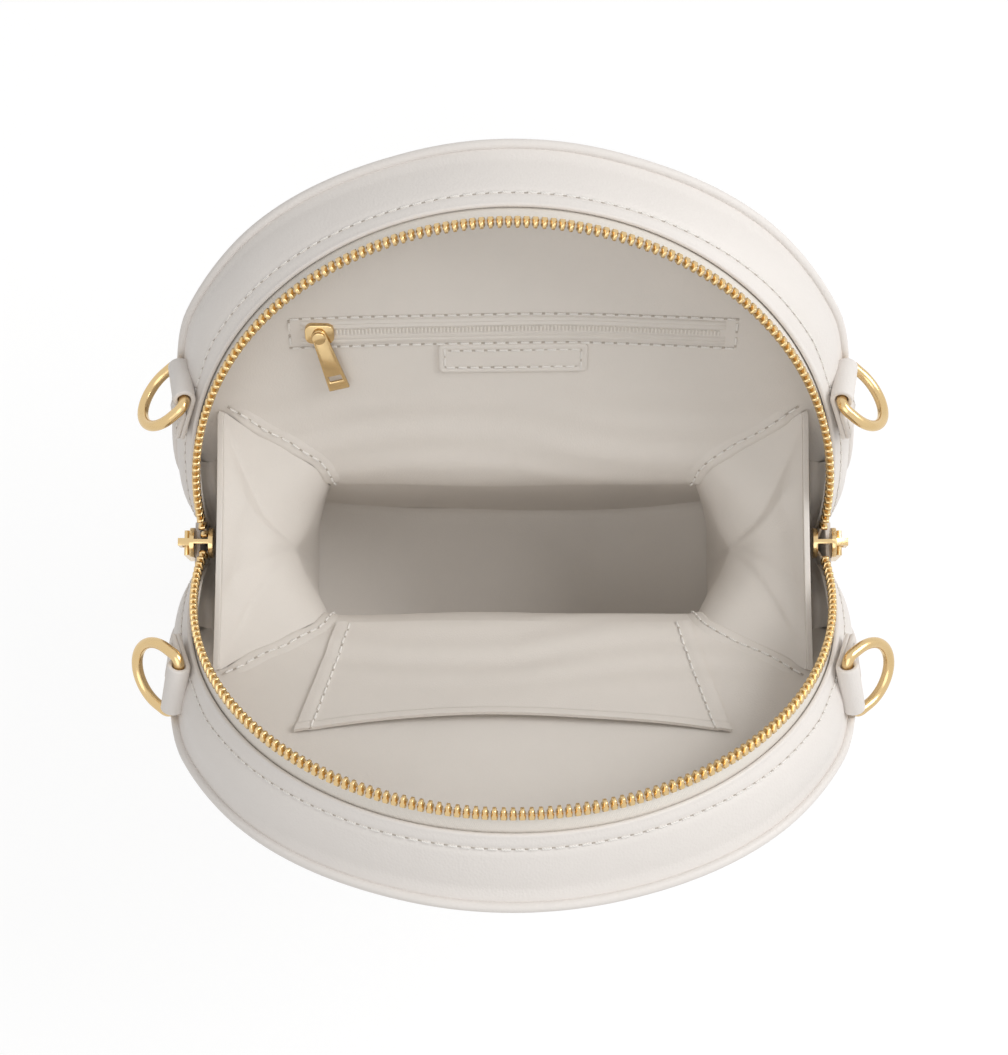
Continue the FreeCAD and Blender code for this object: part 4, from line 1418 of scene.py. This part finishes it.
# Lamps: name, place, size and power
LAMPS = (("key lamp", (0.80, 0.30, 0.85), 0.7, 6.2), ("fill lamp", (-0.15, -0.45, 1.0), 0.9, 2.4))
LAMP_AIM = (0, 0, 0.1)
# Camera: the photograph's size, focal length and middle of perspective in its pixels
PHOTO_WIDTH, PHOTO_HEIGHT = 1008, 1055
PHOTO_FOCAL = 1695
PHOTO_MIDDLE = (513, 543)
CAMERA_TILT = math.radians(6.0)
CAMERA_AWAY = 0.55
CAMERA_AIM = (0, 0, 0.113)
SENSOR = 36


def make_floor_plane():
    """A pale floor that shows white and keeps the bag's shadow."""
    mesh = bpy.data.meshes.new("stage_floor")
    corners = [(x * FLOOR_HALF, y * FLOOR_HALF, 0) for x, y in ((-1, -1), (1, -1), (1, 1), (-1, 1))]
    mesh.from_pydata(corners, [], [(0, 1, 2, 3)])
    finish = Finish("pale floor")
    lit = finish.shader(Base_Color=FLOOR_COLOUR, Roughness=0.9)
    glow = finish.node("ShaderNodeEmission", None, {"Color": WHITE, "Strength": FLOOR_GLOW})
    share = FLOOR_GLOW_SHARE * finish.background_rays()
    both = finish.node("ShaderNodeMixShader", None, {0: share, 1: lit, 2: glow})
    mesh.materials.append(finish.finished(both))
    placed("stage_floor", mesh)


def make_world():
    """Soft light from all round, and a white background."""
    world = bpy.data.worlds.new("studio")
    bpy.context.scene.world = world
    world.use_nodes = True
    nodes = Nodes(world.node_tree)
    light = nodes.node("ShaderNodeBackground", None, {"Color": WORLD_COLOUR, "Strength": WORLD_LIGHT})
    white = nodes.node("ShaderNodeBackground", None, {"Color": WHITE, "Strength": 1})
    both = nodes.node("ShaderNodeMixShader", None, {0: nodes.background_rays(), 1: light, 2: white})
    nodes.node("ShaderNodeOutputWorld", None, {"Surface": both}, ())


def make_lamps():
    for name, place, size, power in LAMPS:
        lamp = bpy.data.lights.new(name, "AREA")
        lamp.shape, lamp.size, lamp.energy = "DISK", size, power
        made = placed(name, lamp)
        made.location = place
        made.rotation_euler = (Vector(LAMP_AIM) - Vector(place)).to_track_quat("-Z", "Y").to_euler()


def make_camera():
    """Nearly straight down, as the photograph sees the open bag."""
    camera = bpy.data.cameras.new("camera")
    camera.sensor_width = SENSOR
    camera.lens = PHOTO_FOCAL / PHOTO_HEIGHT * SENSOR
    camera.shift_x = (PHOTO_WIDTH / 2 - PHOTO_MIDDLE[0]) / PHOTO_HEIGHT
    camera.shift_y = (PHOTO_MIDDLE[1] - PHOTO_HEIGHT / 2) / PHOTO_HEIGHT
    made = placed("camera", camera)
    back = Vector((0, -math.sin(CAMERA_TILT), math.cos(CAMERA_TILT)))
    up = Vector((0, math.cos(CAMERA_TILT), math.sin(CAMERA_TILT)))
    turned = Matrix((up.cross(back), up, back)).transposed().to_4x4()
    made.matrix_world = Matrix.Translation(Vector(CAMERA_AIM) + back * CAMERA_AWAY) @ turned
    bpy.context.scene.camera = made


# Settings that a user would change

def size_setting(name, description, default):
    return FloatProperty(name=name, description=description, default=default, unit="LENGTH")


def colour_setting(name, description, default):
    return FloatVectorProperty(
        name=name, description=description, subtype="COLOR", size=3, min=0, max=1, default=default)


class BagSizes(PropertyGroup):
    stitch_pitch: size_setting("Stitch pitch", "Distance from stitch to stitch", 3.7 * MM)
    stitch_length: size_setting("Stitch length", "Length of one stitch", 2.75 * MM)
    stitch_width: size_setting("Stitch width", "Thickness of the thread", 0.7 * MM)
    panel_puff: size_setting("Panel puff", "How far the padded discs bulge", 1.0 * MM)
    band_crown: size_setting("Band crown", "How far the bands round out between their seams", 0.7 * MM)
    rim_swell: size_setting("Rim swell", "How far the rims of the open halves swell", 3.8 * MM)
    lining_ripple: size_setting("Lining ripple", "Height of the ripples in the disc linings", 0.28 * MM)
    pocket_gape: size_setting("Pocket gape", "How far the slip pocket's mouth stands open", 2.6 * MM)


class BagColours(PropertyGroup):
    leather: colour_setting("Leather", "Colour of the outer leather", (0.79, 0.75, 0.715))
    lining: colour_setting("Lining", "Colour of the lining", (0.74, 0.695, 0.645))
    gold: colour_setting("Metal", "Colour of the plated metal", (0.73, 0.53, 0.27))
    tape: colour_setting("Tape", "Colour of the zip tape", (0.82, 0.775, 0.715))
    thread: colour_setting("Thread", "Colour of the sewing thread", (0.85, 0.82, 0.78))
    # The colour of the dashes between stitches is painted shade
    hole: colour_setting("Holes", "Colour of the shade in the needle holes", (0.50, 0.45, 0.395))


# Operators

class BagOperator(Operator):
    """Base of the bag's operators"""

    bl_options = {"REGISTER", "UNDO"}


class DressMetal(BagOperator):
    """Give the frame's own metal and leather fittings their finishes"""

    bl_idname = "circle_bag.metal"
    bl_label = "Fittings"

    def execute(self, context):
        finish_nodes()
        for hand in ("left", "right"):
            rounded_copy(f"{hand}_zip_slider", f"{hand}_rounded_slider", f"{hand}_slider")
            rounded_copy(f"{hand}_zip_pull", f"{hand}_rounded_pull", f"{hand}_pull")
        rounded_copy("pocket_slider", "pocket_rounded_slider", "pocket_slider", WIDE_BEVEL)
        rounded_copy("pocket_pull", "pocket_rounded_pull", "pocket_pull")
        return {"FINISHED"}


class MakeShell(BagOperator):
    """Make the leather discs, pipings and bands"""

    bl_idname = "circle_bag.shell"
    bl_label = "Shell"

    def execute(self, context):
        for side in (BACK, FRONT):
            make_panel(side)
            make_piping(side)
            make_zip_band(side)
            band_stitches(side)
        make_base_band()
        seam_stitches()
        return {"FINISHED"}


class MakeMainZip(BagOperator):
    """Make the zip tapes, their rows of teeth and the leather at their ends"""

    bl_idname = "circle_bag.main_zip"
    bl_label = "Main zip"

    def execute(self, context):
        for side in (BACK, FRONT):
            make_tape(side)
            make_teeth(side)
        make_zip_ends()
        return {"FINISHED"}


class MakeLinings(BagOperator):
    """Make the disc linings and the floor"""

    bl_idname = "circle_bag.linings"
    bl_label = "Linings"

    def execute(self, context):
        for side in (BACK, FRONT):
            make_lining(side)
        make_floor()
        return {"FINISHED"}


class MakeGussets(BagOperator):
    """Make the folding side gussets"""

    bl_idname = "circle_bag.gussets"
    bl_label = "Gussets"

    def execute(self, context):
        for hand in (RIGHT, LEFT):
            make_gusset(hand)
            make_side_fold(hand)
            for side in (BACK, FRONT):
                make_gusset_hem(side, hand)
        return {"FINISHED"}


class MakePockets(BagOperator):
    """Make the zip pocket, the patch and the slip pocket"""

    bl_idname = "circle_bag.pockets"
    bl_label = "Pockets"

    def execute(self, context):
        make_pocket_zip()
        make_patch()
        make_slip_pocket()
        return {"FINISHED"}


class MakeTabs(BagOperator):
    """Make the four strap tabs"""

    bl_idname = "circle_bag.tabs"
    bl_label = "Strap tabs"

    def execute(self, context):
        for side in (BACK, FRONT):
            for hand in (RIGHT, LEFT):
                make_tab(side, hand)
        return {"FINISHED"}


class MakeStage(BagOperator):
    """Make the floor, the lamps, the world and the camera"""

    bl_idname = "circle_bag.stage"
    bl_label = "Stage"

    def execute(self, context):
        context.scene.view_settings.view_transform = "Standard"
        make_floor_plane()
        make_world()
        make_lamps()
        make_camera()
        return {"FINISHED"}


class BagPanel(Panel):
    """Lists the bag's settings and operators"""

    bl_idname = "VIEW3D_PT_circle_bag"
    bl_label = "Circle Bag"
    bl_space_type = "VIEW_3D"
    bl_region_type = "UI"
    bl_category = "Circle Bag"

    def draw(self, context):
        for group in (context.scene.bag_sizes, context.scene.bag_colours):
            for name in group.__annotations__:
                self.layout.prop(group, name)
        for operator in OPERATORS:
            self.layout.operator(operator.bl_idname)


OPERATORS = (DressMetal, MakeShell, MakeMainZip, MakeLinings, MakeGussets, MakePockets, MakeTabs, MakeStage)
CLASSES = (BagSizes, BagColours, *OPERATORS, BagPanel)


def register():
    for cls in CLASSES:
        bpy.utils.register_class(cls)
    bpy.types.Scene.bag_sizes = PointerProperty(type=BagSizes)
    bpy.types.Scene.bag_colours = PointerProperty(type=BagColours)


def unregister():
    del bpy.types.Scene.bag_colours
    del bpy.types.Scene.bag_sizes
    for cls in reversed(CLASSES):
        bpy.utils.unregister_class(cls)


def main():
    register()
    bpy.ops.circle_bag.metal()
    bpy.ops.circle_bag.shell()
    bpy.ops.circle_bag.main_zip()
    bpy.ops.circle_bag.linings()
    bpy.ops.circle_bag.gussets()
    bpy.ops.circle_bag.pockets()
    bpy.ops.circle_bag.tabs()
    bpy.ops.circle_bag.stage()


if __name__ == "__main__":
    main()
